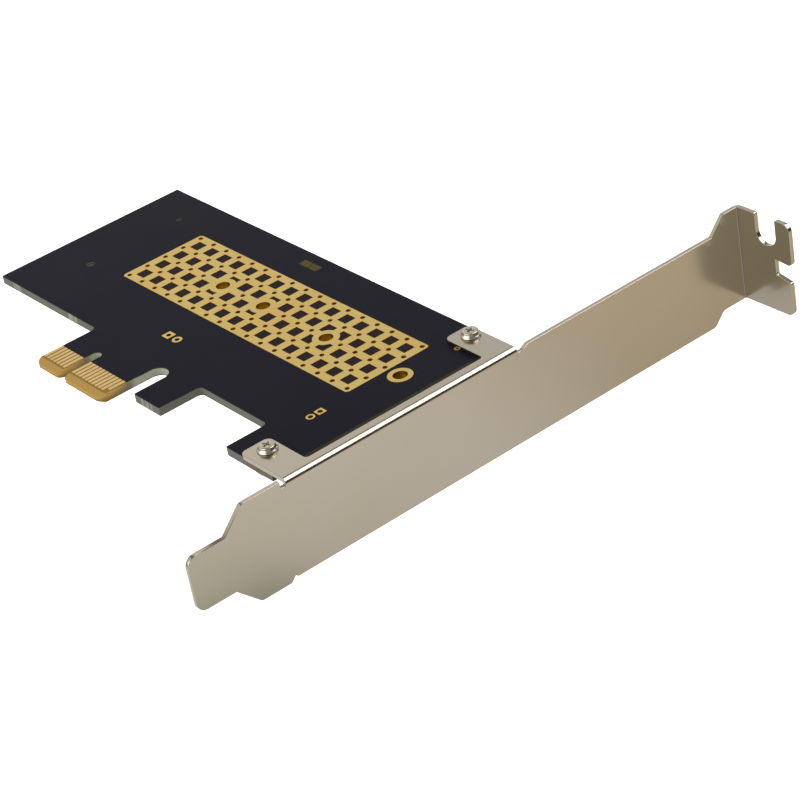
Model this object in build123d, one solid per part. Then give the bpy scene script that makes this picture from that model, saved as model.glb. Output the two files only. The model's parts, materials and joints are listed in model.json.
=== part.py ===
from build123d import *
import os

# Drive adapter card: a circuit board that plugs into a single-lane expansion slot, carries a drive
# socket for a thin solid-state drive, and is screwed to a full-height steel bracket.
#
# Frame, in millimetres: the origin is the centre of the key notch on the insertion edge, at half the
# board's thickness. +X points out of the case through the bracket, +Y points away from the slot,
# +Z is the solder side's normal. The drive socket and the small parts are on the -Z side.

# Board. Its ends and its top edge lie at set distances from the drive that it carries.
board_thickness = 1.57
far_margin = 5.9
bracket_margin = 6.0
top_margin = 17.0
board_lower = 12.85
inner_corner = 1.0

# Card edge
tongue_left = -8.0
tongue_right = 12.15
tongue_corner = 1.5
key_width = 1.9
key_depth = 8.5
key_mouth_corner = 0.7
bevel_length = 1.3
bevel_depth = 0.4

# Legs beside the card edge
hook_slot_width = 4.1
hook_slot_top = 12.6
hook_leg_width = 7.45
hook_leg_end = 4.35
bracket_leg_width = 12.4
bracket_leg_end = 4.4
leg_corner = 0.3

# Gold contacts on the card edge, on both sides of the key
contact_pitch = 1.0
contact_width = 0.7
contact_bevel_gap = 0.4
contact_end = 5.7
short_contact = 0.8
far_contacts = 7
near_contacts = 11
first_contact = 1.5
foil = 0.05

# Drive: its screw holes lie at the standard lengths from the drive's inserted end
drive_axis_y = 35.5
drive_stop_x = -31.0
drive_lengths = (30.0, 42.0, 60.0, 80.0)
drive_hole_radius = 1.3
drive_land_radius = 2.2

# Heat pad: gold field with vias on a square pitch and one mask window in each cell. A via is so narrow
# that a twelve-sided hole is as good as a round one.
via_pitch = 4.0
via_columns = 17
via_rows = 5
via_radius = 0.48
via_sides = 12
pad_setback = 12.0
pad_margin_x = 1.0
pad_margin_y = 0.87
pad_corner = 0.7
window_side = 2.3
hole_land_radius = 2.4

# Through-hole footprints that stay empty: a square pad, then a round one
header_hole_radius = 0.45
barrel = 0.05
centre_header_land = 0.93
centre_header_x = 5.15
centre_header_rise = 6.5
centre_header_pitch = 2.54
side_header_inset = 8.1
side_header_rise = 7.55
side_header_land = 0.8
side_header_pitch = 2.0

# Bracket: one folded sheet, whose flange lies on the board's solder face
sheet = 0.86
bracket_length = 120.02
bracket_width = 18.42
bracket_reach = 4.44
slot_tongue_end = -16.05
fold_radius = 1.0
fold_low_overhang = 0.45
fold_high_setback = 0.5
relief_width = 1.1
relief_depth = 0.1
high_relief_slope = 1.2
flange_width = 2.34
tab_overlap = 7.8
lower_tab_width = 5.9
upper_tab_width = 5.4
tab_corner = 1.2
flange_inner_corner = 0.7
shoulder_rise = 0.15
edge_inset = 0.57
shoulder_length = 5.9
slot_tongue_width = 10.19
slot_tongue_length = 7.3
shoulder_slope = 4.1
slot_tongue_corner = 1.8
lip_notch_depth = 1.0

# Ear of the bracket, with its screw slot and the notch beside it
ear_reach = 12.1
ear_lower_reach = 11.5
ear_bend = 0.3
ear_top = 4.35
ear_bottom = -13.75
neck_low_setback = 7.71
neck_low_slope = 2.3
neck_high_setback = 6.41
ear_slot_width = 4.6
ear_slot_reach = 6.41
ear_slot_depth = 5.57
ear_notch_reach = 8.16
ear_notch_top = -3.4
ear_notch_height = 3.0
ear_notch_flare = 0.35
prong_corner = 1.5
ear_corner = 1.4
sheet_corner = 0.3

# Screws and nuts that hold the tabs to the board
screw_radius = 1.0
screw_inset_x = 2.95
lower_screw_inset = 3.5
upper_screw_inset = 2.05
head_radius = 1.75
head_height = 1.05
head_crown = 0.35
recess_width = 0.5
recess_span = 1.9
recess_depth = 0.7
recess_turn = 20.0
recess_cross_angle = 90.0
recess_taper = 15.0
screw_play = 0.1
nut_height = 1.15
nut_flats = 4.0
nut_play = 0.02
screw_tip = 0.35
tip_chamfer = 0.2

# Earth via, half under the upper tab
earth_via_inset = 3.2
earth_via_cover = 0.1
earth_via_radius = 0.62
earth_via_bore = 0.3

# Drive socket on the component side
socket_stop_wall = 2.6
socket_depth = 7.2
socket_width = 21.9
socket_height = 4.2
socket_slot_height = 1.0
socket_slot_rise = 2.05
socket_slot_width = 20.1
socket_key_offset = 6.1
socket_key_width = 1.15
socket_lip = 1.6
peg_from_stop = 2.1
peg_spread = 20.0
upper_peg_radius = 0.55
lower_peg_radius = 0.8
peg_play = 0.05
peg_short = 0.25
pin_pitch = 0.5
pin_width = 0.2
pin_thickness = 0.15
pin_play = 0.02
upper_pin_count = 38
lower_pin_count = 37
tail_reach = 0.85
riser_inset = 1.1
hold_down_size = 1.6
hold_down_thickness = 0.25
hold_down_rise = 1.4

# Small parts on the component side. Each size is length, width and height.
bulk_size = (3.5, 2.8, 1.9)
ceramic_size = (1.6, 0.8, 0.8)
resistor_size = (1.6, 0.8, 0.45)
bead_size = (2.0, 1.25, 0.9)
led_size = (1.6, 0.8, 0.35)
led_lens_size = (1.1, 0.8, 0.25)
part_gap = 2.0
top_row_inset = 4.0
far_column_inset = 2.6
supply_row_rise = 9.75
signal_row_rise = 4.15

# Worked-out places
solder_face = board_thickness / 2
component_face = -board_thickness / 2
drive_holes = [drive_stop_x + length for length in drive_lengths]
socket_back_x = drive_stop_x - socket_stop_wall
socket_mouth_x = socket_back_x + socket_depth
board_far_end = socket_back_x - far_margin
board_bracket_end = drive_holes[-1] + bracket_margin
board_top = drive_axis_y + top_margin
bracket_leg_left = board_bracket_end - bracket_leg_width
hook_leg_left = tongue_right + hook_slot_width
hook_leg_right = hook_leg_left + hook_leg_width
contact_start = bevel_length + contact_bevel_gap
pad_low_x = drive_stop_x + pad_setback
bracket_face_x = board_bracket_end + bracket_reach
plate_back_x = bracket_face_x - sheet
fold_low_y = bracket_leg_end - fold_low_overhang
fold_high_y = board_top - fold_high_setback
flange_edge_x = bracket_face_x - flange_width
tab_end_x = board_bracket_end - tab_overlap
upper_tab_y = fold_high_y - upper_tab_width
flange_top = solder_face + sheet
shoulder_top = flange_top + shoulder_rise
lip_bottom = shoulder_top - bracket_width
plate_centre_z = (shoulder_top + lip_bottom) / 2
ear_outer_y = slot_tongue_end + bracket_length
ear_under_y = ear_outer_y - sheet
screw_x = tab_end_x + screw_inset_x
screw_places = ((screw_x, fold_low_y + lower_screw_inset), (screw_x, fold_high_y - upper_screw_inset))
screw_hole_radius = screw_radius + screw_play
earth_via_place = (tab_end_x + earth_via_inset, upper_tab_y + earth_via_cover)
peg_x = drive_stop_x + peg_from_stop
pegs = ((peg_spread / 2, upper_peg_radius), (-peg_spread / 2, lower_peg_radius))


def block(x, y, z):
    """A box given by its (low, high) pairs."""
    size = (x[1] - x[0], y[1] - y[0], z[1] - z[0])
    return Pos((x[0] + x[1]) / 2, (y[0] + y[1]) / 2, (z[0] + z[1]) / 2) * Box(*size)


def patch(x, y):
    """A flat rectangle given by its (low, high) pairs."""
    return Pos((x[0] + x[1]) / 2, (y[0] + y[1]) / 2) * Rectangle(x[1] - x[0], y[1] - y[0])


def rod(x, y, radius, z):
    """An upright cylinder between two heights."""
    return Pos(x, y, (z[0] + z[1]) / 2) * Cylinder(radius, z[1] - z[0])


def slab(sketch, z):
    """A sketch raised between two heights."""
    return extrude(Pos(0, 0, z[0]) * sketch, z[1] - z[0])


def round_corner(sketch, point, radius):
    """Round the corner of a sketch that lies nearest a point."""
    vertex = sketch.vertices().sort_by_distance(Vector(*point))[0]
    return fillet(vertex, radius)


def via_row(row):
    """The height of one row of vias along Y."""
    return drive_axis_y + (row - (via_rows - 1) / 2) * via_pitch


def via_places():
    """The vias' centres, without those that a drive screw hole takes."""
    places = []
    for column in range(via_columns):
        for row in range(via_rows):
            x = pad_low_x + column * via_pitch
            y = via_row(row)
            if all(Vector(x - hole, y - drive_axis_y).length > hole_land_radius for hole in drive_holes):
                places.append((x, y))
    return places


def window_places():
    """The centres of the cells between the vias."""
    cells = [(column, row) for column in range(via_columns - 1) for row in range(via_rows - 1)]
    return [(pad_low_x + (column + 0.5) * via_pitch, via_row(row + 0.5)) for column, row in cells]


def contact_centres():
    """The contacts' centres along the card edge, first beyond the key, then on the bracket's side."""
    far = [-first_contact - n * contact_pitch for n in range(far_contacts)]
    near = [first_contact + n * contact_pitch for n in range(near_contacts)]
    return far + near


def header_places():
    """Square pad first, round pad second, for both empty footprints."""
    x = centre_header_x
    y = board_lower + centre_header_rise
    centre = ((x, y), (x + centre_header_pitch, y))
    x = board_bracket_end - side_header_inset
    y = board_lower + side_header_rise
    side = ((x, y), (x, y - side_header_pitch))
    return centre, side


def board_outline():
    """The board's outline with its card edge, hook slot and legs."""
    outline = patch((board_far_end, board_bracket_end), (board_lower, board_top))
    outline += patch((tongue_left, tongue_right), (0, board_lower))
    outline += patch((tongue_right, hook_leg_left), (hook_slot_top, board_lower))
    outline += patch((hook_leg_left, hook_leg_right), (hook_leg_end, board_lower))
    outline += patch((bracket_leg_left, board_bracket_end), (bracket_leg_end, board_lower))
    key_end = key_depth - key_width / 2
    outline -= patch((-key_width / 2, key_width / 2), (-1, key_end)) + Pos(0, key_end) * Circle(key_width / 2)
    for x in (tongue_left, hook_leg_right, bracket_leg_left):
        outline = round_corner(outline, (x, board_lower), inner_corner)
    for x in (tongue_right, hook_leg_left):
        outline = round_corner(outline, (x, hook_slot_top), hook_slot_width / 2 - 0.01)
    for x in (tongue_left, tongue_right):
        outline = round_corner(outline, (x, 0), tongue_corner)
    for x in (-key_width / 2, key_width / 2):
        outline = round_corner(outline, (x, 0), key_mouth_corner)
    for x in (hook_leg_left, hook_leg_right):
        outline = round_corner(outline, (x, hook_leg_end), leg_corner)
    outline = round_corner(outline, (bracket_leg_left, bracket_leg_end), leg_corner)
    return outline


def bevelled_section():
    """The board's cross-section with the bevelled insertion edge, as long as the board."""
    tip = solder_face - bevel_depth
    side = Polyline(
        (0, -tip), (0, tip), (bevel_length, solder_face), (board_top, solder_face),
        (board_top, component_face), (bevel_length, component_face), close=True)
    return extrude(Plane.YZ.offset(board_far_end) * make_face(side), board_bracket_end - board_far_end)


def circuit_board():
    """The laminate with every drilled hole."""
    centre_header, side_header = header_places()
    holes = [Pos(x, y) * RegularPolygon(via_radius, via_sides) for x, y in via_places()]
    holes += drive_circles(drive_hole_radius)
    holes += [Pos(x, y) * Circle(screw_hole_radius) for x, y in screw_places]
    holes += [Pos(x, y) * Circle(header_hole_radius + barrel) for x, y in centre_header + side_header]
    holes += [Pos(peg_x, drive_axis_y + dy) * Circle(radius + peg_play) for dy, radius in pegs]
    holes += [Pos(*earth_via_place) * Circle(earth_via_bore + barrel)]
    return slab(board_outline() - holes, (component_face, solder_face)) & bevelled_section()


def drive_circles(radius):
    """One circle about each drive screw hole."""
    return [Pos(x, drive_axis_y) * Circle(radius) for x in drive_holes]


def pad_field():
    """The heat pad's outline."""
    lattice = (via_columns - 1) * via_pitch
    length = lattice + 2 * pad_margin_x
    width = (via_rows - 1) * via_pitch + 2 * pad_margin_y
    return Pos(pad_low_x + lattice / 2, drive_axis_y) * RectangleRounded(length, width, pad_corner)


def with_drive_lands(field):
    """A field with a land about every drive hole. The last hole's land lies beside the field, as a ring."""
    return field + drive_circles(drive_land_radius) - drive_circles(drive_hole_radius)


def heat_pad_solder_side():
    """Gold field on the solder side, with its vias and mask windows."""
    windows = Sketch() + [Pos(x, y) * Rectangle(window_side, window_side) for x, y in window_places()]
    windows -= drive_circles(hole_land_radius)
    vias = [Pos(x, y) * RegularPolygon(via_radius, via_sides) for x, y in via_places()]
    return slab(with_drive_lands(pad_field() - windows - vias), (solder_face, solder_face + foil))


def heat_pad_component_side():
    """Plain gold land under the drive, which closes the vias."""
    return slab(with_drive_lands(pad_field()), (component_face - foil, component_face))


def edge_contacts(z, short):
    """Gold strips on one face of the card edge, of which one starts later than the others."""
    strips = []
    for x in contact_centres():
        start = contact_start + (short_contact if x == short else 0)
        strips.append(block((x - contact_width / 2, x + contact_width / 2), (start, contact_end), z))
    return strips


def plated_hole(land, bore):
    """A land on both faces of the board, joined by a plated barrel."""
    hole = Circle(bore)
    faces = slab(land - hole, (solder_face, solder_face + foil))
    faces += slab(land - hole, (component_face - foil, component_face))
    return faces + slab(Circle(bore + barrel) - hole, (component_face - foil, solder_face + foil))


def header_pads(pair, reach):
    """One empty two-pin footprint."""
    lands = (Rectangle(2 * reach, 2 * reach), Circle(reach))
    holes = [plated_hole(land, header_hole_radius) for land in lands]
    return [Pos(x, y) * hole for (x, y), hole in zip(pair, holes)]


def earth_via():
    """The plated via at the upper tab, whose land ends where the tab lies on the board."""
    return Pos(*earth_via_place) * plated_hole(Circle(earth_via_radius), earth_via_bore) - bracket()


def plate_outline():
    """The bracket's upright plate, drawn with Y first and Z second."""
    half = slot_tongue_width / 2
    slope_start = slot_tongue_end + slot_tongue_length
    shoulder_start = slope_start + shoulder_slope
    shoulder_end = shoulder_start + shoulder_length
    fold_z = flange_top - fold_radius
    relief_z = fold_z - relief_depth
    high_edge = shoulder_top - edge_inset
    low_edge = lip_bottom + edge_inset
    neck_low_y = ear_under_y - neck_low_setback
    neck_high_y = ear_under_y - neck_high_setback
    neck_high_end = neck_high_y + ear_top - high_edge
    points = (
        (slot_tongue_end, plate_centre_z - half),
        (slot_tongue_end, plate_centre_z + half),
        (slope_start, plate_centre_z + half),
        (shoulder_start, shoulder_top),
        (fold_low_y - relief_width, shoulder_top),
        (fold_low_y - relief_width, relief_z),
        (fold_low_y, relief_z),
        (fold_low_y, fold_z),
        (fold_high_y, fold_z),
        (fold_high_y, relief_z),
        (fold_high_y + relief_width, relief_z),
        (fold_high_y + relief_width + high_relief_slope, high_edge),
        (neck_high_y, high_edge),
        (neck_high_end, ear_top),
        (ear_under_y - ear_bend, ear_top),
        (ear_under_y - ear_bend, ear_bottom),
        (neck_low_y + neck_low_slope, ear_bottom),
        (neck_low_y, low_edge),
        (shoulder_end + 2 * lip_notch_depth - edge_inset, low_edge),
        (shoulder_end + lip_notch_depth, lip_bottom + lip_notch_depth),
        (shoulder_end, lip_bottom),
        (shoulder_start, lip_bottom),
        (slope_start, plate_centre_z - half),
    )
    outline = make_face(Polyline(*points, close=True))
    for z in (plate_centre_z - half, plate_centre_z + half):
        outline = round_corner(outline, (slot_tongue_end, z), slot_tongue_corner)
    corners = (
        (shoulder_start, shoulder_top), (shoulder_start, lip_bottom),
        (neck_low_y, low_edge), (neck_low_y + neck_low_slope, ear_bottom))
    for corner in corners:
        outline = round_corner(outline, corner, inner_corner)
    outline = round_corner(outline, (neck_high_y, high_edge), sheet_corner)
    return round_corner(outline, (neck_high_end, ear_top), sheet_corner)


def ear_outline():
    """The bracket's ear, drawn with X first and Z second."""
    root = bracket_face_x + ear_bend
    slot_low = bracket_face_x + ear_slot_reach - ear_slot_width / 2
    slot_high = slot_low + ear_slot_width
    slot_bottom = ear_top - ear_slot_depth
    prong_x = bracket_face_x + ear_reach
    lower_x = bracket_face_x + ear_lower_reach
    notch_x = bracket_face_x + ear_notch_reach
    notch_low = ear_notch_top - ear_notch_height
    points = (
        (root, ear_bottom),
        (lower_x, ear_bottom),
        (lower_x, notch_low - 2 * ear_notch_flare),
        (notch_x, notch_low),
        (notch_x, ear_notch_top),
        (prong_x, ear_notch_top - ear_notch_flare),
        (prong_x, ear_top),
        (slot_high, ear_top),
        (slot_high, slot_bottom),
        (slot_low, slot_bottom),
        (slot_low, ear_top),
        (root, ear_top),
    )
    outline = make_face(Polyline(*points, close=True))
    for x in (slot_low, slot_high):
        outline = round_corner(outline, (x, slot_bottom), ear_slot_width / 2 - 0.01)
        outline = round_corner(outline, (x, ear_top), sheet_corner)
    outline = round_corner(outline, (prong_x, ear_top), prong_corner)
    outline = round_corner(outline, (prong_x, ear_notch_top - ear_notch_flare), inner_corner)
    outline = round_corner(outline, (lower_x, ear_bottom), ear_corner)
    return round_corner(outline, (lower_x, notch_low - 2 * ear_notch_flare), sheet_corner)


def flange_outline():
    """The narrow flange beside the board and its two tabs, up to the fold."""
    fold_x = bracket_face_x - fold_radius
    lower_tab_y = fold_low_y + lower_tab_width
    outline = patch((flange_edge_x, fold_x), (fold_low_y, fold_high_y))
    outline += patch((tab_end_x, fold_x), (fold_low_y, lower_tab_y))
    outline += patch((tab_end_x, fold_x), (upper_tab_y, fold_high_y))
    for y in (fold_low_y, lower_tab_y, upper_tab_y, fold_high_y):
        outline = round_corner(outline, (tab_end_x, y), tab_corner)
    for y in (lower_tab_y, upper_tab_y):
        outline = round_corner(outline, (flange_edge_x, y), flange_inner_corner)
    return outline - [Pos(x, y) * Circle(screw_hole_radius) for x, y in screw_places]


def quarter_bend(centre, outer, side):
    """A quarter ring of sheet about a centre, towards +Y and towards +X or -X."""
    ring = Pos(*centre) * (Circle(outer) - Circle(outer - sheet))
    span = sorted((centre[0], centre[0] + side * outer))
    return ring & patch(span, (centre[1], centre[1] + outer))


def bracket():
    """Plate, ear and flange, joined by their two bends."""
    plate = extrude(Plane.YZ.offset(plate_back_x) * plate_outline(), sheet)
    ear = extrude(Plane.XZ.offset(-ear_outer_y) * ear_outline(), sheet)
    flange = slab(flange_outline(), (solder_face, flange_top))
    fold = quarter_bend((bracket_face_x - fold_radius, flange_top - fold_radius), fold_radius, 1)
    fold = extrude(Plane.XZ.offset(-fold_high_y) * fold, fold_high_y - fold_low_y)
    bend = quarter_bend((bracket_face_x + ear_bend, ear_under_y - ear_bend), ear_bend + sheet, -1)
    return plate + ear + flange + fold + slab(bend, (ear_bottom, ear_top))


def bracket_screw(x, y):
    """A pan-head screw with a cross recess."""
    tip = component_face - nut_height - screw_tip
    top = flange_top + head_height
    shank = rod(x, y, screw_radius, (tip, flange_top))
    head = rod(x, y, head_radius, (flange_top, top))
    head = fillet(head.edges().group_by(Axis.Z)[-1], head_crown)
    for turn in (recess_turn, recess_turn + recess_cross_angle):
        arm = Pos(x, y, top) * Rot(0, 0, turn) * Rectangle(recess_span, recess_width)
        head -= extrude(arm, -recess_depth, taper=recess_taper)
    return head + chamfer(shank.edges().group_by(Axis.Z)[0], tip_chamfer)


def bracket_nut(x, y):
    """A hexagon nut against the component side."""
    hexagon = RegularPolygon(nut_flats / 2, 6, major_radius=False) - Circle(screw_radius + nut_play)
    return Pos(x, y) * slab(hexagon, (component_face - nut_height, component_face))


def upper_pin_side():
    """An upper contact seen from the side, as X and depth: tail, riser, and beam over the slot."""
    riser = socket_back_x + riser_inset
    tail = socket_back_x - tail_reach
    tip = socket_mouth_x - socket_lip
    beam = socket_slot_rise + socket_slot_height
    return (
        (tail, 0), (riser, 0), (riser, beam), (tip, beam),
        (tip, beam + pin_thickness), (riser - pin_thickness, beam + pin_thickness),
        (riser - pin_thickness, pin_thickness), (tail, pin_thickness))


def lower_pin_side():
    """A lower contact seen from the side, as X and depth: tail, riser, and beam under the slot."""
    riser = socket_mouth_x - riser_inset
    tail = socket_mouth_x + tail_reach
    beam = socket_slot_rise
    return (
        (tail, 0), (riser - pin_thickness, 0), (riser - pin_thickness, beam - pin_thickness),
        (drive_stop_x, beam - pin_thickness), (drive_stop_x, beam), (riser, beam),
        (riser, pin_thickness), (tail, pin_thickness))


def pin_row(side_points, count, play=0.0):
    """One row of contacts, or with play, the grooves that hold them. The key takes the place of a few."""
    side = make_face(Polyline(*side_points, close=True))
    if play:
        side = offset(side, play)
    width = pin_width + 2 * play
    pins = []
    for n in range(count):
        across = (n - (count - 1) / 2) * pin_pitch
        if abs(across - socket_key_offset) > (socket_key_width + pin_pitch + pin_width) / 2:
            y = drive_axis_y + across + width / 2
            frame = Plane((0, y, component_face), x_dir=(1, 0, 0), z_dir=(0, 1, 0))
            pins.append(extrude(frame * side, -width))
    return pins


def drive_socket_housing():
    """The moulded body with its slot, key rib and two locating pegs, grooved for its contacts."""
    half = socket_width / 2
    slot_half = socket_slot_width / 2
    body_y = (drive_axis_y - half, drive_axis_y + half)
    slot_y = (drive_axis_y - slot_half, drive_axis_y + slot_half)
    bottom = component_face - socket_height
    slot_z = (component_face - socket_slot_rise - socket_slot_height, component_face - socket_slot_rise)
    body = block((socket_back_x, socket_mouth_x), body_y, (bottom, component_face))
    body -= block((drive_stop_x, socket_mouth_x), slot_y, slot_z)
    body -= block((socket_mouth_x - socket_lip, socket_mouth_x), slot_y, (bottom, slot_z[0]))
    key_y = drive_axis_y + socket_key_offset
    key_span = (key_y - socket_key_width / 2, key_y + socket_key_width / 2)
    body += block((drive_stop_x, socket_mouth_x - socket_lip), key_span, slot_z)
    for dy, radius in pegs:
        body += rod(peg_x, drive_axis_y + dy, radius, (component_face, solder_face - peg_short))
    body -= pin_row(upper_pin_side(), upper_pin_count, pin_play)
    return body - pin_row(lower_pin_side(), lower_pin_count, pin_play)


def hold_downs():
    """The metal tabs that solder the socket's ends to the board."""
    centre = (socket_back_x + socket_mouth_x) / 2
    span = (centre - hold_down_size / 2, centre + hold_down_size / 2)
    tabs = []
    for side in (-1, 1):
        wall = drive_axis_y + side * socket_width / 2
        outside = sorted((wall, wall + side * hold_down_thickness))
        foot = sorted((wall, wall + side * hold_down_size))
        tab = block(span, outside, (component_face - hold_down_rise, component_face))
        tabs.append(tab + block(span, foot, (component_face - hold_down_thickness, component_face)))
    return tabs


def chip(size, x, y):
    """A plain rectangular part that lies on the component side."""
    length, width, height = size
    z = (component_face - height, component_face)
    return block((x - length / 2, x + length / 2), (y - width / 2, y + width / 2), z)


def chip_row(size, x, y, count):
    """Like parts in a row towards +X, the first of them centred on (x, y)."""
    return [chip(size, x + n * (size[0] + part_gap), y) for n in range(count)]


def bulk_capacitors():
    """Two large capacitors between the socket and the board's top edge."""
    return chip_row(bulk_size, socket_mouth_x + bulk_size[0], board_top - top_row_inset, 2)


def ceramic_capacitors():
    """Three behind the socket, and three beside the drive towards the card edge."""
    x = board_far_end + far_column_inset
    column = [chip(ceramic_size, x, drive_axis_y + n * via_pitch) for n in (-1, 0, 1)]
    return column + chip_row(ceramic_size, pad_low_x + via_pitch, board_lower + supply_row_rise, 3)


def chip_resistors():
    """Two beside the card edge, and two for the light beyond the drive."""
    signal = chip_row(resistor_size, tongue_left + via_pitch, board_lower + signal_row_rise, 2)
    return signal + chip_row(resistor_size, drive_holes[2], board_top - top_row_inset, 2)


def ferrite_bead():
    """Supply filter in line with the large capacitors."""
    return chip(bead_size, pad_low_x + 2 * via_pitch, board_top - top_row_inset)


def status_led():
    """A light's body with its lens, as one moulded piece."""
    x = drive_holes[2] + 2 * (resistor_size[0] + part_gap) + part_gap
    y = board_top - top_row_inset
    body = chip(led_size, x, y)
    return body + Pos(0, 0, -led_size[2]) * chip(led_lens_size, x, y)


def save(name, shape):
    """Write one node, which may hold several separate solids."""
    pieces = shape if isinstance(shape, list) else [shape]
    solids = [solid for piece in pieces for solid in piece.solids()]
    export_step(Compound(children=solids) if len(solids) > 1 else solids[0], f"parts/{name}.step")
    print(name, len(solids), "solids")


def main():
    os.makedirs("parts", exist_ok=True)
    centres = contact_centres()
    centre_header, side_header = header_places()
    save("circuit_board", circuit_board())
    save("heat_pad_solder_side", heat_pad_solder_side())
    save("heat_pad_component_side", heat_pad_component_side())
    save("edge_contacts_solder_side", edge_contacts((solder_face, solder_face + foil), centres[-1]))
    save("edge_contacts_component_side",
         edge_contacts((component_face - foil, component_face), centres[far_contacts - 2]))
    save("header_pads_centre", header_pads(centre_header, centre_header_land))
    save("header_pads_beside_bracket", header_pads(side_header, side_header_land))
    save("earth_via", earth_via())
    save("bracket", bracket())
    save("bracket_screws", [bracket_screw(x, y) for x, y in screw_places])
    save("bracket_nuts", [bracket_nut(x, y) for x, y in screw_places])
    save("drive_socket_housing", drive_socket_housing())
    save("socket_upper_contacts", pin_row(upper_pin_side(), upper_pin_count))
    save("socket_lower_contacts", pin_row(lower_pin_side(), lower_pin_count))
    save("socket_hold_downs", hold_downs())
    save("bulk_capacitors", bulk_capacitors())
    save("ceramic_capacitors", ceramic_capacitors())
    save("chip_resistors", chip_resistors())
    save("ferrite_bead", ferrite_bead())
    save("status_led", status_led())


main()
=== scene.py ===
"""Drive adapter card: the looks of the board, its gold, its bracket and its small parts.

Everything is in metres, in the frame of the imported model: the origin is the centre of the key notch on
the card edge, +X points out through the bracket, +Y away from the slot, +Z out of the solder side.
Materials work in millimetres of the same frame.
"""

import functools
import json
import math

import bmesh
import bpy
from bpy.props import FloatProperty, FloatVectorProperty, IntProperty, PointerProperty
from mathutils import Matrix, Vector


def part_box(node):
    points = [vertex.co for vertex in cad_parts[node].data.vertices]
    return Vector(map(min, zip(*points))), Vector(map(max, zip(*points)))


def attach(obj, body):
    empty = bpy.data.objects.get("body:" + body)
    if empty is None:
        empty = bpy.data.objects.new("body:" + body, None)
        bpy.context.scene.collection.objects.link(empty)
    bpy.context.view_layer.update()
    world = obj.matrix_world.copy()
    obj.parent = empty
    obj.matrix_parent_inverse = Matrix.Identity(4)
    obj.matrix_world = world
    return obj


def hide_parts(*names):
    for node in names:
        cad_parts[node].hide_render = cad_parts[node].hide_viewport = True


bl_info = {
    "name": "Drive adapter card",
    "version": (1, 0, 0),
    "blender": (4, 5, 0),
    "location": "3D View > Sidebar > Adapter card",
    "description": "Builds the looks of a drive adapter card around its packed model",
    "category": "Add Mesh",
}

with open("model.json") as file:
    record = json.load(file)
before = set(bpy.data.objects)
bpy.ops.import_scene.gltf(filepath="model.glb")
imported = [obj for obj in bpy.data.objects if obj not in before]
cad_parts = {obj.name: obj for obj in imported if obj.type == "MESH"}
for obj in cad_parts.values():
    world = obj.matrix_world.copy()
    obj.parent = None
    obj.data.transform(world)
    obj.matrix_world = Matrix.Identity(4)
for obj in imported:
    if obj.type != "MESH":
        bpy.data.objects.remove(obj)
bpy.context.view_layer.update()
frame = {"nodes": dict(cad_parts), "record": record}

MM = 0.001
WELD = 1e-7

# Places on the board, in millimetres: centre and half size
PLAIN_FIELD = ((6.5, 49.4), (2.4, 0.8))
HEAT_PAD = ((13.0, 35.5), (33.0, 9.0))
SLOTS = ((7.4, 10.2), (8.9, 3.4))
TONGUE = ((4.0, 0.0), (12.3, 5.0))
TONGUE_END = (14.6, 16.0)
SHADED_WALL_UNDER_FOLD = ((55.0, 30.0), (0.3, 23.0))
# the board's end wall under the bracket's fold, which gets painted shade
BROWN_WALL_BELOW_TAB = ((51.2, 4.2), (2.9, 0.3))
BLUISH_WALL = ((44.8, 4.2), (1.6, 0.6))
TORN_BARS = (((19.9, 4.35), (1.6, 0.2)), ((-34.4, 12.85), (1.5, 0.2)), ((-15.9, 12.85), (1.5, 0.2)),
             ((0.0, 52.5), (1.5, 0.2)), ((-39.5, 30.0), (0.2, 1.5)))
LACQUER_LINE = (5.68, 5.76)
BARE_MIDDLE, BARE_REACH = 2.1, (11.0, 11.2)
BEVEL_LINE = (1.25, 1.40)

# The bend between the bracket's plate and its ear, in millimetres, where painted shade darkens the crease
SHEET = 0.86
CREASE_SHADE_X = (59.45, 59.49)

# A screw head's side, in millimetres: how far beyond its full reach, how far above its seat
HEAD_SIDE = ((-0.12, 0.0), (-0.03, 0.04), (0.0, 0.12), (-0.02, 0.21), (-0.10, 0.32), (-0.22, 0.47),
             (-0.31, 0.64), (-0.35, 0.82), (-0.36, 0.92), (-0.40, 0.99))
RECESS_TURNS = (20.0, 110.0)
KEYED_PINS = (29, 32)


# Sizes and colours


def length(name, value, description):
    """A size property in metres, given in millimetres."""
    return FloatProperty(name=name, description=description, default=value * MM, min=0.0, unit="LENGTH", precision=5)


def count(name, value, description):
    """A property for a number of like things."""
    return IntProperty(name=name, description=description, default=value, min=2)


def amount(name, value, description, unit="NONE"):
    """A property for a strength, or for a size given in metres."""
    return FloatProperty(name=name, description=description, default=value, min=0.0, unit=unit)


def colour(name, value, description):
    """A colour property, given as linear red, green and blue."""
    return FloatVectorProperty(
        name=name, description=description, default=value, size=3, min=0.0, max=1.0, subtype="COLOR")


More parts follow.
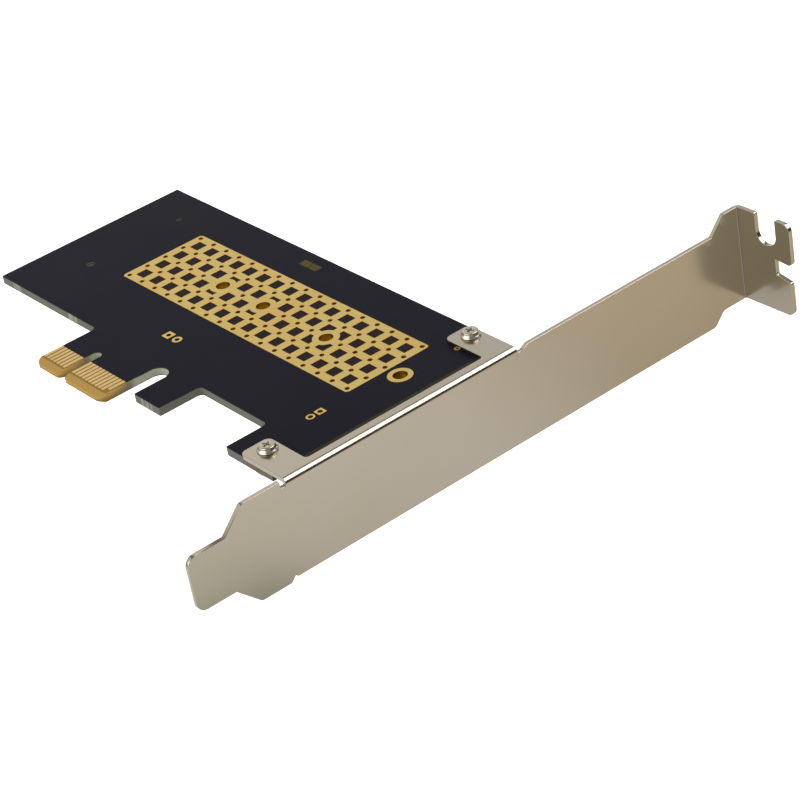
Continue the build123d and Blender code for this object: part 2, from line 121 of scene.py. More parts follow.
class CardSizes(bpy.types.PropertyGroup):
    """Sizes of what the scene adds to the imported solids."""

    board_edge: length("Board edge", 0.07, "Rounding of the board's routed outline")
    sheet_edge: length("Sheet edge", 0.13, "Rounding that stamping leaves along the bracket's edges")
    via_pitch: length("Via pitch", 4.0, "Distance between neighbouring vias in the heat pad")
    via_columns: count("Via columns", 17, "Vias along the heat pad")
    via_rows: count("Via rows", 5, "Vias across the heat pad")
    via_radius: length("Via radius", 0.48, "Radius of a drilled via")
    via_wall: length("Via wall", 0.03, "Thickness of the copper that lines a via")
    drive_hole_radius: length("Drive hole radius", 1.3, "Radius of a drive screw hole")
    drive_hole_wall: length("Drive hole wall", 0.03, "Thickness of the gold that lines a drive screw hole")
    head_height: length("Head height", 1.05, "Height of a screw head above its seat")
    head_recess: length("Recess depth", 0.62, "Depth of the cross recess in a screw head")
    thread_pitch: length("Thread pitch", 0.4, "Pitch of the screws' thread")
    thread_radius: length("Thread radius", 0.84, "Radius of the line that the thread winds along")
    thread_ridge: length("Thread ridge", 0.14, "Radius of the thread's three-sided ridge")
    nut_bore: length("Nut bore", 1.02, "Radius of a nut's bore")
    part_edge: length("Part edge", 0.05, "Rounding of the small parts' bodies")
    pin_edge: length("Contact edge", 0.03, "Rounding of the socket's contacts")
    pin_pitch: length("Contact pitch in the socket", 0.5, "Distance between neighbouring contacts of the socket")
    upper_pins: count("Upper contacts", 38, "Places for contacts in the socket's upper row")
    lower_pins: count("Lower contacts", 37, "Places for contacts in the socket's lower row")
    end_cap: length("End cap", 0.30, "How far a chip's metal end covers its body")
    land_reach: length("Land reach", 0.35, "How far a solder land shows beyond a part's end")


class CardColours(bpy.types.PropertyGroup):
    """Base colours of the card's finishes."""

    mask: colour("Solder mask", (0.0062, 0.0055, 0.0108), "Blue-black lacquer on both faces")
    mask_on_copper: colour("Solder mask on copper", (0.0150, 0.0072, 0.0072), "Lacquer in the heat pad's windows")
    laminate: colour("Laminate", (0.175, 0.173, 0.142), "Glass-fibre laminate at the routed edges")
    laminate_pale: colour("Pale laminate", (0.46, 0.48, 0.36), "Laminate where light comes through it")
    wall_brown_dark: colour("Dark brown wall", (0.075, 0.052, 0.028), "Brown on the wall below the lower tab")
    wall_brown_light: colour("Light brown wall", (0.27, 0.19, 0.10), "Brown where that wall is torn")
    cold_wall: colour("Cold wall", (0.15, 0.165, 0.18), "Bluish part of the same wall")
    tongue: colour("Card edge laminate", (0.40, 0.245, 0.068), "Bare laminate between and below the contacts")
    field: colour("Plain field", (0.100, 0.087, 0.032), "Olive of the small plain field")
    field_thread: colour("Plain field threads", (0.055, 0.040, 0.018), "Darker threads of the small plain field")
    gold: colour("Gold", (0.610, 0.450, 0.136), "Thin gold on the pads and lands")
    contact: colour("Contact gold", (0.60, 0.42, 0.160), "Hard gold on the card edge contacts")
    barrel: colour("Via barrel", (0.60, 0.34, 0.022), "Tarnished copper inside the vias")
    # painted shade: the gold in the drive screw holes gets a darker colour than the pads' gold
    shaded_hole_gold: colour("Shaded drive hole gold", (0.29, 0.185, 0.012), "Gold inside the drive screw holes")
    print: colour("Print", (0.55, 0.54, 0.50), "Plain printed field at one end of the large capacitors")
    steel: colour("Bracket steel", (0.44, 0.395, 0.325), "Warm grey plated sheet")
    nickel: colour("Screw nickel", (0.48, 0.44, 0.36), "Bright plating on screws and nuts")
    plastic: colour("Socket plastic", (0.018, 0.018, 0.020), "Black moulded plastic of the drive socket")
    tin: colour("Tin", (0.68, 0.68, 0.66), "Matt tin on terminations and solder")
    bulk: colour("Large capacitor", (0.030, 0.028, 0.026), "Moulded case of the large capacitors")
    ceramic: colour("Ceramic", (0.30, 0.19, 0.105), "Fired body of the small capacitors")
    speck: colour("Ceramic specks", (0.36, 0.24, 0.14), "Pale specks in the fired body")
    alumina: colour("Resistor body", (0.62, 0.62, 0.60), "White ceramic under the resistors' glaze")
    glaze: colour("Resistor glaze", (0.012, 0.012, 0.013), "Black glaze on top of the resistors")
    ferrite: colour("Ferrite", (0.055, 0.055, 0.060), "Dark grey ferrite of the bead")
    resin: colour("Light resin", (0.78, 0.80, 0.66), "Milky resin of the indicator light")


class StudioSizes(bpy.types.PropertyGroup):
    """The floor, the lights and the camera."""

    floor_depth: length("Floor depth", 62.0, "How far the floor lies below the card's middle plane")
    floor_size: amount("Floor size", 6.0, "Side of the square floor", "LENGTH")
    floor_colour: colour("Floor colour", (0.80, 0.80, 0.80), "Plain pale floor")
    floor_glow: amount("Floor glow", 0.68, "Light that the floor gives off")
    reflected_floor: amount("Reflected floor", 1.07, "How bright metal sees the floor beside the card")
    floor_bounce: amount("Floor bounce", 0.40, "Light that the floor throws up at matt surfaces")
    sky_back: amount("Room light, back", 1.12, "Light from behind the card")
    sky_front: amount("Room light, front", 0.28, "Light from the camera's side")
    softbox_size: amount("Softbox size", 0.605, "Width of the softbox overhead", "LENGTH")
    softbox_power: amount("Softbox power", 3.5, "Strength of the softbox", "POWER")
    fill_size: amount("Fill size", 1.10, "Width of the lamp in front", "LENGTH")
    fill_power: amount("Fill power", 6.4, "Strength of the lamp in front", "POWER")
    camera_place: FloatVectorProperty(
        name="Camera place", description="Where the camera stands", default=(0.360401, -0.172904, 0.222977),
        subtype="TRANSLATION", unit="LENGTH", precision=6)
    lens: FloatProperty(name="Lens", description="Focal length for a sensor 36 mm wide", default=120.3516, min=1.0)


# Node helpers


def fill(tree, socket, value):
    """Join another socket to an input, or set its value. A colour comes without its fourth number."""
    if isinstance(value, bpy.types.NodeSocket):
        tree.links.new(value, socket)
    else:
        socket.default_value = (*tuple(value)[:3], 1.0) if socket.type == "RGBA" else value


def add(tree, kind, inputs=None, **settings):
    """Add a node. An input is given by its name or number, as a socket to join or as a value."""
    node = tree.nodes.new(kind)
    for name, value in settings.items():
        setattr(node, name, value)
    for key, value in (inputs or {}).items():
        fill(tree, node.inputs[key], value)
    return node


def calc(tree, operation, first, *others):
    """Arithmetic on one number, or on several from left to right."""
    if not others:
        return add(tree, "ShaderNodeMath", {0: first}, operation=operation).outputs[0]
    for other in others:
        first = add(tree, "ShaderNodeMath", {0: first, 1: other}, operation=operation).outputs[0]
    return first


def times(tree, *values):
    """The product of numbers."""
    return calc(tree, "MULTIPLY", *values)


def largest(tree, *values):
    """The largest of numbers."""
    return calc(tree, "MAXIMUM", *values)


def less(tree, value, taken):
    """A number less another."""
    return calc(tree, "SUBTRACT", value, taken)


def off(tree, value, middle):
    """How far a number lies from a middle, on either side."""
    return calc(tree, "ABSOLUTE", less(tree, value, middle))


def ramp(tree, value, low, high, start=0.0, end=1.0):
    """A value eased from start to end while the input goes from low to high."""
    inputs = {"Value": value, "From Min": low, "From Max": high, "To Min": start, "To Max": end}
    return add(tree, "ShaderNodeMapRange", inputs, interpolation_type="SMOOTHSTEP").outputs["Result"]


def mix(tree, factor, first, second):
    """Two colours mixed by a factor."""
    inputs = {0: factor, 6: first, 7: second}
    return add(tree, "ShaderNodeMix", inputs, data_type="RGBA", clamp_factor=True).outputs[2]


def noise(tree, place, scale, detail=3.0, roughness=0.5, distortion=0.0):
    """Fractal noise at a place."""
    inputs = {"Vector": place, "Scale": scale, "Detail": detail, "Roughness": roughness, "Distortion": distortion}
    return add(tree, "ShaderNodeTexNoise", inputs).outputs["Fac"]


def millimetres(tree):
    """Object coordinates in millimetres."""
    place = add(tree, "ShaderNodeTexCoord").outputs["Object"]
    return add(tree, "ShaderNodeVectorMath", {0: place, "Scale": 1.0 / MM}, operation="SCALE").outputs[0]


def parts_of(tree, vector):
    """The three numbers of a vector."""
    return add(tree, "ShaderNodeSeparateXYZ", {0: vector}).outputs[:3]


def box_mask(tree, place, centre, half, soft=0.05):
    """One inside a box about a centre, falling to nought over a soft edge. An axis left out is endless."""
    sides = [ramp(tree, off(tree, value, middle), reach - soft, reach + soft, 1.0, 0.0)
             for value, middle, reach in zip(place, centre, half)]
    return times(tree, *sides)


def new_group(name, kind, inputs, outputs):
    """A node group. Its inputs and outputs are given as a name, a kind and perhaps a value."""
    tree = bpy.data.node_groups.new(name, kind)
    for in_out, rows in (("INPUT", inputs), ("OUTPUT", outputs)):
        for label, sort, *value in rows:
            socket = tree.interface.new_socket(label, in_out=in_out, socket_type="NodeSocket" + sort)
            if value:
                socket.default_value = value[0]
    return tree, tree.nodes.new("NodeGroupInput").outputs, tree.nodes.new("NodeGroupOutput").inputs


# Effects that several materials share


@functools.cache
def grain_effect():
    """Fine even grain, for a bump and a small change of roughness."""
    tree, given, made = new_group(
        "Fine grain", "ShaderNodeTree",
        (("Place", "Vector"), ("Grains per mm", "Float", 5.0), ("Roughness", "Float", 0.4), ("Spread", "Float", 0.1)),
        (("Height", "Float"), ("Roughness", "Float")))
    broad = noise(tree, given["Place"], 0.12, 3.0, 0.55, 0.6)
    shift = times(tree, less(tree, broad, 0.5), given["Spread"])
    fill(tree, made["Height"], noise(tree, given["Place"], given["Grains per mm"], 4.0, 0.6))
    fill(tree, made["Roughness"], calc(tree, "ADD", given["Roughness"], shift))
    return tree


@functools.cache
def clouding_effect():
    """Slow drift between two tints, as on plated metal and lacquer."""
    tree, given, made = new_group(
        "Clouding", "ShaderNodeTree",
        (("Place", "Vector"), ("Clouds per mm", "Float", 0.05), ("First", "Color"), ("Second", "Color")),
        (("Colour", "Color"),))
    cloud = ramp(tree, noise(tree, given["Place"], given["Clouds per mm"], 2.5, 0.5, 0.3), 0.32, 0.68)
    fill(tree, made["Colour"], mix(tree, cloud, given["First"], given["Second"]))
    return tree


@functools.cache
def streak_effect():
    """Streaks that run along one axis of the given place, as rolling and routing leave."""
    tree, given, made = new_group(
        "Streaks", "ShaderNodeTree",
        (("Place", "Vector"), ("Squeeze", "Vector"), ("Contrast", "Float", 0.2)),
        (("Height", "Float"), ("Mask", "Float")))
    squeezed = add(tree, "ShaderNodeVectorMath", {0: given["Place"], 1: given["Squeeze"]}, operation="MULTIPLY")
    lines = noise(tree, squeezed.outputs[0], 1.0, 4.0, 0.65)
    low, high = less(tree, 0.5, given["Contrast"]), calc(tree, "ADD", 0.5, given["Contrast"])
    fill(tree, made["Height"], lines)
    fill(tree, made["Mask"], ramp(tree, lines, low, high))
    return tree


@functools.cache
def handling_effect():
    """Faint rubbed marks and specks."""
    tree, given, made = new_group(
        "Handling marks", "ShaderNodeTree", (("Place", "Vector"), ("Amount", "Float", 0.3)), (("Mask", "Float"),))
    rubbed = ramp(tree, noise(tree, given["Place"], 0.35, 5.0, 0.7, 1.2), 0.55, 0.75)
    cells = add(tree, "ShaderNodeTexVoronoi", {"Vector": given["Place"], "Scale": 0.45})
    specks = ramp(tree, cells.outputs["Distance"], 0.03, 0.08, 1.0, 0.0)
    fill(tree, made["Mask"], times(tree, largest(tree, rubbed, specks), given["Amount"]))
    return tree


def effect(tree, maker, inputs):
    """Place a shared effect in a material."""
    return add(tree, "ShaderNodeGroup", inputs, node_tree=maker()).outputs


def streaked(tree, place, squeeze, contrast):
    """The outputs of the streaks for a squeeze of the place along each axis."""
    return effect(tree, streak_effect, {"Place": place, "Squeeze": squeeze, "Contrast": contrast})


# Materials


def scaled(value, factor):
    """A colour made lighter or darker."""
    return tuple(min(1.0, part * factor) for part in value)


class Finish:
    """A material in the making: its place, tint, roughness and relief."""

    def __init__(self, name, first, second, clouds, grain, rub=None, **plain):
        """Cloud two tints and lay a fine grain (grains per mm, roughness, spread) and rubbed marks
        (amount, added roughness) over them. The other settings go to the Principled shader as they are."""
        self.material = bpy.data.materials.new(name)
        self.material.use_nodes = True
        self.tree = self.material.node_tree
        self.shader = self.tree.nodes["Principled BSDF"]
        for key, value in plain.items():
            self.shader.inputs[key.replace("_", " ")].default_value = value
        self.place = millimetres(self.tree)
        self.tint = effect(self.tree, clouding_effect, {
            "Place": self.place, "Clouds per mm": clouds, "First": first, "Second": second})["Colour"]
        grains = effect(self.tree, grain_effect, {
            "Place": self.place, "Grains per mm": grain[0], "Roughness": grain[1], "Spread": grain[2]})
        self.height, self.roughness = grains["Height"], grains["Roughness"]
        if rub:
            marks = effect(self.tree, handling_effect, {"Place": self.place, "Amount": rub[0]})["Mask"]
            self.roughness = calc(self.tree, "ADD", self.roughness, times(self.tree, marks, rub[1]))

    def coat(self, mask, share, paint):
        """Paint a colour over part of the tint."""
        self.tint = mix(self.tree, times(self.tree, mask, share), self.tint, paint)

    def done(self, relief):
        """Join it all to the shader, with the bump's relief in millimetres."""
        bump = add(self.tree, "ShaderNodeBump", {"Height": self.height, "Distance": relief * MM, "Strength": 1.0})
        for key, value in (("Base Color", self.tint), ("Roughness", self.roughness), ("Normal", bump.outputs[0])):
            fill(self.tree, self.shader.inputs[key], value)
        return self.material


def metal_material(name, base, roughness, spread=0.10, relief=0.0006, darker=0.9):
    """Plated metal."""
    finish = Finish(name, base, scaled(base, darker), 0.05, (7.0, roughness, spread), (0.12, 0.5), Metallic=1.0)
    return finish.done(relief)


def gold_material(name, base, roughness, inside=0.5):
    """Thin gold over copper, a little redder in patches, with painted shade inside the holes, where it turns darker and
    browner.
    """
    red, green, blue = base
    redder = (red, green * 0.93, blue * 0.82)
    finish = Finish(name, base, redder, 0.09, (9.0, roughness, 0.08), (0.10, 0.4), Metallic=1.0)
    tree = finish.tree
    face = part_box("circuit_board")[1].z / MM
    depth = calc(tree, "ABSOLUTE", parts_of(tree, finish.place)[2])
    # painted shade inside the holes: more than 0.3 mm under the face the gold is darkened and browned
    painted_hole_shade = (red * inside, green * inside * 0.72, blue * inside * 0.35)
    finish.tint = mix(tree, ramp(tree, depth, face - 0.3, face, 1.0, 0.0), finish.tint, painted_hole_shade)
    return finish.done(0.0012)


def bracket_material(colours):
    """Plated sheet steel with rolling streaks along the sheet and painted shade darkening the crease at the ear's bend.
    """
    base = tuple(colours.steel)
    olive = (base[0] * 0.95, base[1] * 0.94, base[2] * 0.88)
    finish = Finish("Bracket steel", base, olive, 0.022, (7.0, 0.20, 0.05), (0.08, 0.4), Metallic=1.0)
    tree = finish.tree
    streaks = streaked(tree, finish.place, (5.0, 0.35, 5.0), 0.25)
    finish.coat(streaks["Mask"], 0.07, scaled(base, 0.72))
    x, y, z = parts_of(tree, finish.place)
    ear_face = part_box("bracket")[1].y / MM - SHEET
    below_face = ramp(tree, y, ear_face - 0.05, ear_face - 0.01, 1.0, 0.0)
    above_bend = ramp(tree, y, ear_face - 0.34, ear_face - 0.29)
    # painted shade: the steel in the crease of the ear's bend is darkened to a fifth
    finish.coat(times(tree, ramp(tree, x, *CREASE_SHADE_X), below_face, above_bend), 0.9, scaled(base, 0.2))
    finish.height = calc(tree, "ADD", finish.height, times(tree, streaks["Height"], 0.6))
    return finish.done(0.0006)


def laminate_material(colours):
    """Lacquered faces, bare card edge and routed side walls of the board, told apart by where they lie."""
    low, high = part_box("circuit_board")
    low, high = low / MM, high / MM
    face = high.z
    finish = Finish("Laminate and solder mask", colours.mask, scaled(colours.mask, 1.22), 0.04,
                    (4.0, 0.36, 0.10), (0.12, 0.4), Specular_IOR_Level=0.030)
    tree, place, lacquer = finish.tree, finish.place, finish.tint
    x, y, z = parts_of(tree, place)

    def area(centre, half, soft=0.05):
        return box_mask(tree, (x, y), centre, half, soft)

    def share(mask, strength):
        return times(tree, mask, strength)

    # where the board lies flat, and where lacquer covers it
    normal = add(tree, "ShaderNodeNewGeometry").outputs["Normal"]
    flat = ramp(tree, calc(tree, "ABSOLUTE", parts_of(tree, normal)[2]), 0.6, 0.8)
    beside = ramp(tree, off(tree, x, BARE_MIDDLE), *BARE_REACH)
    (field_x, field_y), (half_x, half_y) = PLAIN_FIELD
    plain_field = box_mask(tree, (x, y, z), (field_x, field_y, face), (half_x, half_y, 0.3))
    beyond_line = largest(tree, ramp(tree, y, *LACQUER_LINE), beside)
    masked = times(tree, flat, beyond_line, less(tree, 1.0, plain_field))
    unmasked = less(tree, 1.0, masked)

    # side walls: fibre layers, darker at the lacquer, tinted towards the card edge, where painted light makes the walls
    # lighter towards the solder side, and with painted shade under the bracket's fold
    layers = streaked(tree, place, (1.4, 1.4, 11.0), 0.22)
    routed = streaked(tree, place, (6.0, 6.0, 0.5), 0.25)["Mask"]
    torn = streaked(tree, place, (3.6, 3.6, 0.25), 0.06)["Mask"]
    on_tongue = share(area(*TONGUE, 3.0), ramp(tree, x, *TONGUE_END, 1.0, 0.0))
    # painted light and shade: the card edge's walls grow lighter towards the solder side face and darker towards the
    # other face
    tongue_painted_light = mix(tree, ramp(tree, z, -face, face), scaled(colours.tongue, 0.62), scaled(colours.tongue, 1.6))
    breaks = largest(tree, *(area(*bar, 0.15) for bar in TORN_BARS))
    edge_line = ramp(tree, calc(tree, "ABSOLUTE", z), face - 0.20, face - 0.09)
    far_side = largest(
        tree, ramp(tree, y, high.y - 0.3, high.y - 0.1), ramp(tree, x, low.x + 0.1, low.x + 0.3, 1.0, 0.0))
    lacquered = share(ramp(tree, y, 6.5, 9.0), less(tree, 1.0, far_side))
    finish.tint = tuple(colours.laminate)
    for mask, strength, paint in (
            (layers["Mask"], 0.35, scaled(colours.laminate, 0.6)),
            (routed, 0.25, scaled(colours.laminate, 1.35)),
            (area(*SLOTS, 0.8), 0.8, colours.laminate_pale),
            (on_tongue, 1.0, tongue_painted_light),
            (breaks, torn, scaled(colours.laminate_pale, 0.75)),
            # painted shade: the board's end wall under the bracket's fold is darkened to about a third
            (area(*SHADED_WALL_UNDER_FOLD, 0.1), 0.85, scaled(colours.laminate, 0.35)),
            # brown on the wall below the lower tab, lighter along the torn streaks
            (area(*BROWN_WALL_BELOW_TAB, 0.8), 0.75, mix(tree, torn, colours.wall_brown_dark, colours.wall_brown_light)),
            (area(*BLUISH_WALL, 0.6), 0.6, colours.cold_wall),
            (share(edge_line, lacquered), 0.9, scaled(colours.laminate, 0.16))):
        finish.coat(mask, strength, paint)
    wall = finish.tint

    # bare faces: the card edge between its contacts, and the small plain field on the solder side
    weave = streaked(tree, place, (3.0, 0.5, 1.0), 0.25)["Mask"]
    finish.tint = tuple(colours.tongue)
    finish.coat(weave, 0.25, scaled(colours.tongue, 0.7))
    finish.coat(ramp(tree, y, *BEVEL_LINE), 0.55, scaled(colours.tongue, 0.3))
    finish.coat(plain_field, 1.0, mix(tree, weave, colours.field, colours.field_thread))

    lacquer = mix(tree, area(*HEAT_PAD, 0.2), lacquer, colours.mask_on_copper)
    finish.tint = mix(tree, masked, mix(tree, flat, wall, finish.tint), lacquer)
    finish.roughness = calc(tree, "ADD", share(masked, finish.roughness), share(unmasked, 0.68))
    finish.height = calc(tree, "ADD", finish.height, share(unmasked, share(layers["Height"], 6.0)))
    return finish.done(0.0015)


def moulded_material(name, base, roughness, relief=0.004, specks=None):
    """Moulded or fired body: fine pitted texture and a little unevenness."""
    finish = Finish(name, base, scaled(base, 1.25), 0.6, (14.0, roughness, 0.12))
    if specks:
        dots = add(finish.tree, "ShaderNodeTexVoronoi", {"Vector": finish.place, "Scale": 9.0}).outputs["Distance"]
        finish.coat(ramp(finish.tree, dots, 0.12, 0.3, 0.5, 0.0), 1.0, specks)
    return finish.done(relief)


def resin_material(name, base):
    """Milky resin under a clear skin."""
    return Finish(name, base, scaled(base, 0.85), 1.2, (6.0, 0.25, 0.1), Coat_Weight=0.4).done(0.001)


@functools.cache
def material_for(paint):
    """The material of one of the record's slots, or of a finish that only the scene has."""
    colours = bpy.context.scene.card_colours
    maker, *given = {
        "laminate": (laminate_material, colours),
        "gold_field": (gold_material, "Gold field", colours.gold, 0.33),
        "gold_contact": (gold_material, "Contact gold", colours.contact, 0.26),
        "tinned_land": (gold_material, "Gold lands", colours.gold, 0.30),
        "barrel": (metal_material, "Via barrel", colours.barrel, 0.45),
        "shaded_hole_gold": (gold_material, "Gold inside the drive holes", colours.shaded_hole_gold, 0.38, 0.8),
        "pale_print": (moulded_material, "Pale print", colours.print, 0.55, 0.001),
        "bracket_steel": (bracket_material, colours),
        "screw_steel": (metal_material, "Bright nickel", colours.nickel, 0.26, 0.04, 0.0003, 0.95),
        "socket_plastic": (moulded_material, "Socket plastic", colours.plastic, 0.48),
        "contact_metal": (gold_material, "Socket contacts", colours.gold, 0.28),
        "tinned_metal": (metal_material, "Matt tin", colours.tin, 0.38, 0.12, 0.002),
        "bulk_case": (moulded_material, "Large capacitor case", colours.bulk, 0.45),
        "ceramic": (moulded_material, "Fired ceramic", colours.ceramic, 0.42, 0.003, tuple(colours.speck)),
        "alumina": (moulded_material, "Resistor ceramic", colours.alumina, 0.55),
        "resistor_glaze": (moulded_material, "Resistor glaze", colours.glaze, 0.22, 0.001),
        "ferrite": (moulded_material, "Ferrite", colours.ferrite, 0.50),
        "led_body": (resin_material, "Light resin", colours.resin),
    }[paint]
    return maker(*given)


# Mesh helpers


def mesh_data(name, mesh):
    """A bmesh written to mesh data and freed. Mesh data stays as it is."""
    if isinstance(mesh, bpy.types.Mesh):
        return mesh
    data = bpy.data.meshes.new(name)
    mesh.to_mesh(data)
    mesh.free()
    return data


def packed_mesh(node):
    """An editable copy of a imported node's mesh."""
    mesh = bmesh.new()
    mesh.from_mesh(frame["nodes"][node].data)
    bmesh.ops.remove_doubles(mesh, verts=mesh.verts, dist=WELD)
    return mesh


def cad_copy(node):
    """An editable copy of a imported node's mesh, with its triangles joined into flat faces."""
    mesh = packed_mesh(node)
    bmesh.ops.dissolve_limit(mesh, angle_limit=math.radians(0.3), verts=mesh.verts, edges=mesh.edges)
    return mesh


def joined(parts):
    """One bmesh made of several, which are used up."""
    mesh = bmesh.new()
    for part in parts:
        data = mesh_data("joined", part)
        mesh.from_mesh(data)
        bpy.data.meshes.remove(data)
    return mesh


def soften(mesh, width, segments=2, angle=60.0, keep=None):
    """Round the edges that turn by more than an angle and that a test keeps."""
    edges = [edge for edge in mesh.edges if len(edge.link_faces) == 2
             and edge.calc_face_angle(0.0) > math.radians(angle) and (keep is None or keep(edge))]
    bmesh.ops.bevel(mesh, geom=edges, offset=width, offset_type="OFFSET", segments=segments, profile=0.5,
                    affect="EDGES", clamp_overlap=True)
    return mesh


def link(item):
    """Put an object into the scene."""
    bpy.context.scene.collection.objects.link(item)
    return item


def put_piece(name, mesh, paint, replaces=(), slot=None, smooth=40.0):
    """Make a mesh a piece of the card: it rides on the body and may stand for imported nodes."""
    data = mesh_data(name, mesh)
    data.name = name
    data.shade_smooth()
    data.set_sharp_from_angle(angle=math.radians(smooth))
    data.materials.clear()
    data.materials.append(material_for(paint))
    piece = link(bpy.data.objects.new(name, data))
    piece.modifiers.new("Even shading", "WEIGHTED_NORMAL").keep_sharp = True
    slot = slot or paint
    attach(piece, "root")
    if replaces:
        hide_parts(*replaces)


def dress(slot, *nodes):
    """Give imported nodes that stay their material."""
    for node in nodes:
        data = frame["nodes"][node].data
        data.materials.clear()
        data.materials.append(material_for(slot))


def loft(rings, capped=True):
    """A bmesh through rings of places, each joined to the next. A ring of one place is a tip."""
    mesh = bmesh.new()
    rings = [[mesh.verts.new(place) for place in ring] for ring in rings]
    for one, two in zip(rings, rings[1:]):
        for n in range(max(len(one), len(two))):
            corners = (one[n % len(one)], one[(n + 1) % len(one)], two[(n + 1) % len(two)], two[n % len(two)])
            mesh.faces.new(list(dict.fromkeys(corners)))
    if capped:
        mesh.faces.new(rings[0])
        mesh.faces.new(rings[-1])
    bmesh.ops.recalc_face_normals(mesh, faces=mesh.faces)
    return mesh


def lathe(profile, segments, centre=(0.0, 0.0)):
    """A closed turned shape about an upright axis. Profile points are (radius, height), from bottom to top."""
    turns = [2 * math.pi * n / segments for n in range(segments)]
    rings = [[(centre[0] + radius * math.cos(turn), centre[1] + radius * math.sin(turn), height)
              for turn in (turns if radius else turns[:1])] for radius, height in profile]
    return loft(rings, capped=False)


def oblong(half_x, half_y, height):
    """The corners of a level rectangle about the origin."""
    return [(a * half_x, b * half_y, height) for a, b in ((-1, -1), (1, -1), (1, 1), (-1, 1))]


def soft_box(low, high, width, segments=2):
    """A box between two corners, with its edges rounded."""
    mesh = bmesh.new()
    low, high = Vector(low), Vector(high)
    bmesh.ops.create_cube(
        mesh, size=1.0, matrix=Matrix.Translation((low + high) / 2) @ Matrix.Diagonal((*(high - low), 1.0)))
    return soften(mesh, width, segments) if width else mesh


def land(middle, half_x, half_y, face):
    """A tinned land on the component side with softly rounded corners, under a face's height."""
    corner = min(half_x, half_y) * 0.35
    outline = []
    for n in range(16):
        turn = 2 * math.pi * (n + 0.5) / 16
        x, y = math.cos(turn), math.sin(turn)
        outline.append((middle[0] + math.copysign(half_x - corner, x) + corner * x,
                        middle[1] + math.copysign(half_y - corner, y) + corner * y))
    mesh = loft([[(x, y, height) for x, y in outline] for height in (face, face - 0.045 * MM)])
    return soften(mesh, 0.02 * MM, keep=lambda edge: edge.verts[0].co.z < face - 0.04 * MM)


def solder_fillet(end, side, width, height, reach):
    """A hollow wedge of solder between a part's metal end and its land."""
    section = [(0.0, 0.0)]
    for n in range(7):
        turn = math.pi / 2 * n / 6
        section.append((reach * (1 - math.cos(turn)), -height * (1 - math.sin(turn)) - 0.03 * MM))
    section.append((reach, 0.0))
    steps = ((-0.5, 0.7), (-0.42, 0.92), (0.0, 1.0), (0.42, 0.92), (0.5, 0.7))
    return loft([[(end + side * (a * grow - 0.02 * MM), step * width, b * grow) for a, b in section]
                 for step, grow in steps])


def evaluated_mesh(item):
    """The plain mesh that an object's modifiers make."""
    graph = bpy.context.evaluated_depsgraph_get()
    graph.update()
    return bpy.data.meshes.new_from_object(item.evaluated_get(graph))


def cut(target, tool, operation="DIFFERENCE"):
    """One solid cut or joined by another, as plain mesh data."""
    first = link(bpy.data.objects.new("cut_target", mesh_data("target", target)))
    second = link(bpy.data.objects.new("cut_tool", mesh_data("tool", tool)))
    change = first.modifiers.new("Cut", "BOOLEAN")
    change.object = second
    change.operation = operation
    change.solver = "EXACT"
    made = evaluated_mesh(first)
    for item in (first, second):
        bpy.data.objects.remove(item)
    return made


# Geometry node trees


def new_tree(name, *inputs):
    """A geometry node tree with a mesh in, a mesh out and named sizes."""
    mesh = ("Geometry", "Geometry")
    return new_group(name, "GeometryNodeTree", (mesh, *inputs), (mesh,))


def end_tree(tree, made, points, part, paint):
    """Put a part on every point, realize the copies, set their material and end the tree."""
    copies = add(tree, "GeometryNodeInstanceOnPoints", {"Points": points, "Instance": part})
    real = add(tree, "GeometryNodeRealizeInstances", {"Geometry": copies.outputs[0]})
    painted = add(tree, "GeometryNodeSetMaterial", {"Geometry": real.outputs[0], "Material": material_for(paint)})
    fill(tree, made[0], painted.outputs[0])
    return tree


def run_tree(tree, base, values):
    """Run a tree on mesh data with the given values, and return plain mesh data."""
    item = link(bpy.data.objects.new("tree_base", base))
    modifier = item.modifiers.new("Pattern", "NODES")
    modifier.node_group = tree
    sockets = {s.name: s.identifier for s in tree.interface.items_tree if getattr(s, "in_out", "") == "INPUT"}
    for label, value in values.items():
        modifier[sockets[label]] = value
    made = evaluated_mesh(item)
    item.modifiers.remove(modifier)
    bpy.data.objects.remove(item)
    return made


def compare(tree, first, second, kind, operation):
    """Whether one number stands in a relation to another."""
    inputs = {2: first, 3: second} if kind == "INT" else {0: first, 1: second}
    return add(tree, "FunctionNodeCompare", inputs, data_type=kind, operation=operation).outputs[0]


def without(tree, geometry, chosen):
    """A geometry without its chosen points."""
    return add(tree, "GeometryNodeDeleteGeometry", {"Geometry": geometry, "Selection": chosen}).outputs[0]


def row_of(base, number, step, paint, leave_out):
    """Mesh data of a base mesh repeated in a straight row, without some of its places."""
    tree, given, made = new_tree(
        "Row of like parts", ("Count", "Int", 1), ("Step", "Vector"), ("Leave out from", "Int", -1),
        ("Leave out to", "Int", -1))
    line = add(tree, "GeometryNodeMeshLine", {"Count": given["Count"], "Offset": given["Step"]}, mode="OFFSET")
    index = add(tree, "GeometryNodeInputIndex").outputs[0]
    after = compare(tree, index, given["Leave out from"], "INT", "GREATER_EQUAL")
    before = compare(tree, index, given["Leave out to"], "INT", "LESS_EQUAL")
    both = add(tree, "FunctionNodeBooleanMath", {0: after, 1: before}, operation="AND").outputs[0]
    end_tree(tree, made, without(tree, line.outputs[0], both), given["Geometry"], paint)
    values = {"Count": number, "Step": Vector(step), "Leave out from": leave_out[0], "Leave out to": leave_out[1]}
    return run_tree(tree, mesh_data("base", base), values)


def marked_points(places):
    """Mesh data with one vertex at each place."""
    data = bpy.data.meshes.new("places")
    data.from_pydata([tuple(place) for place in places], [], [])
    return data


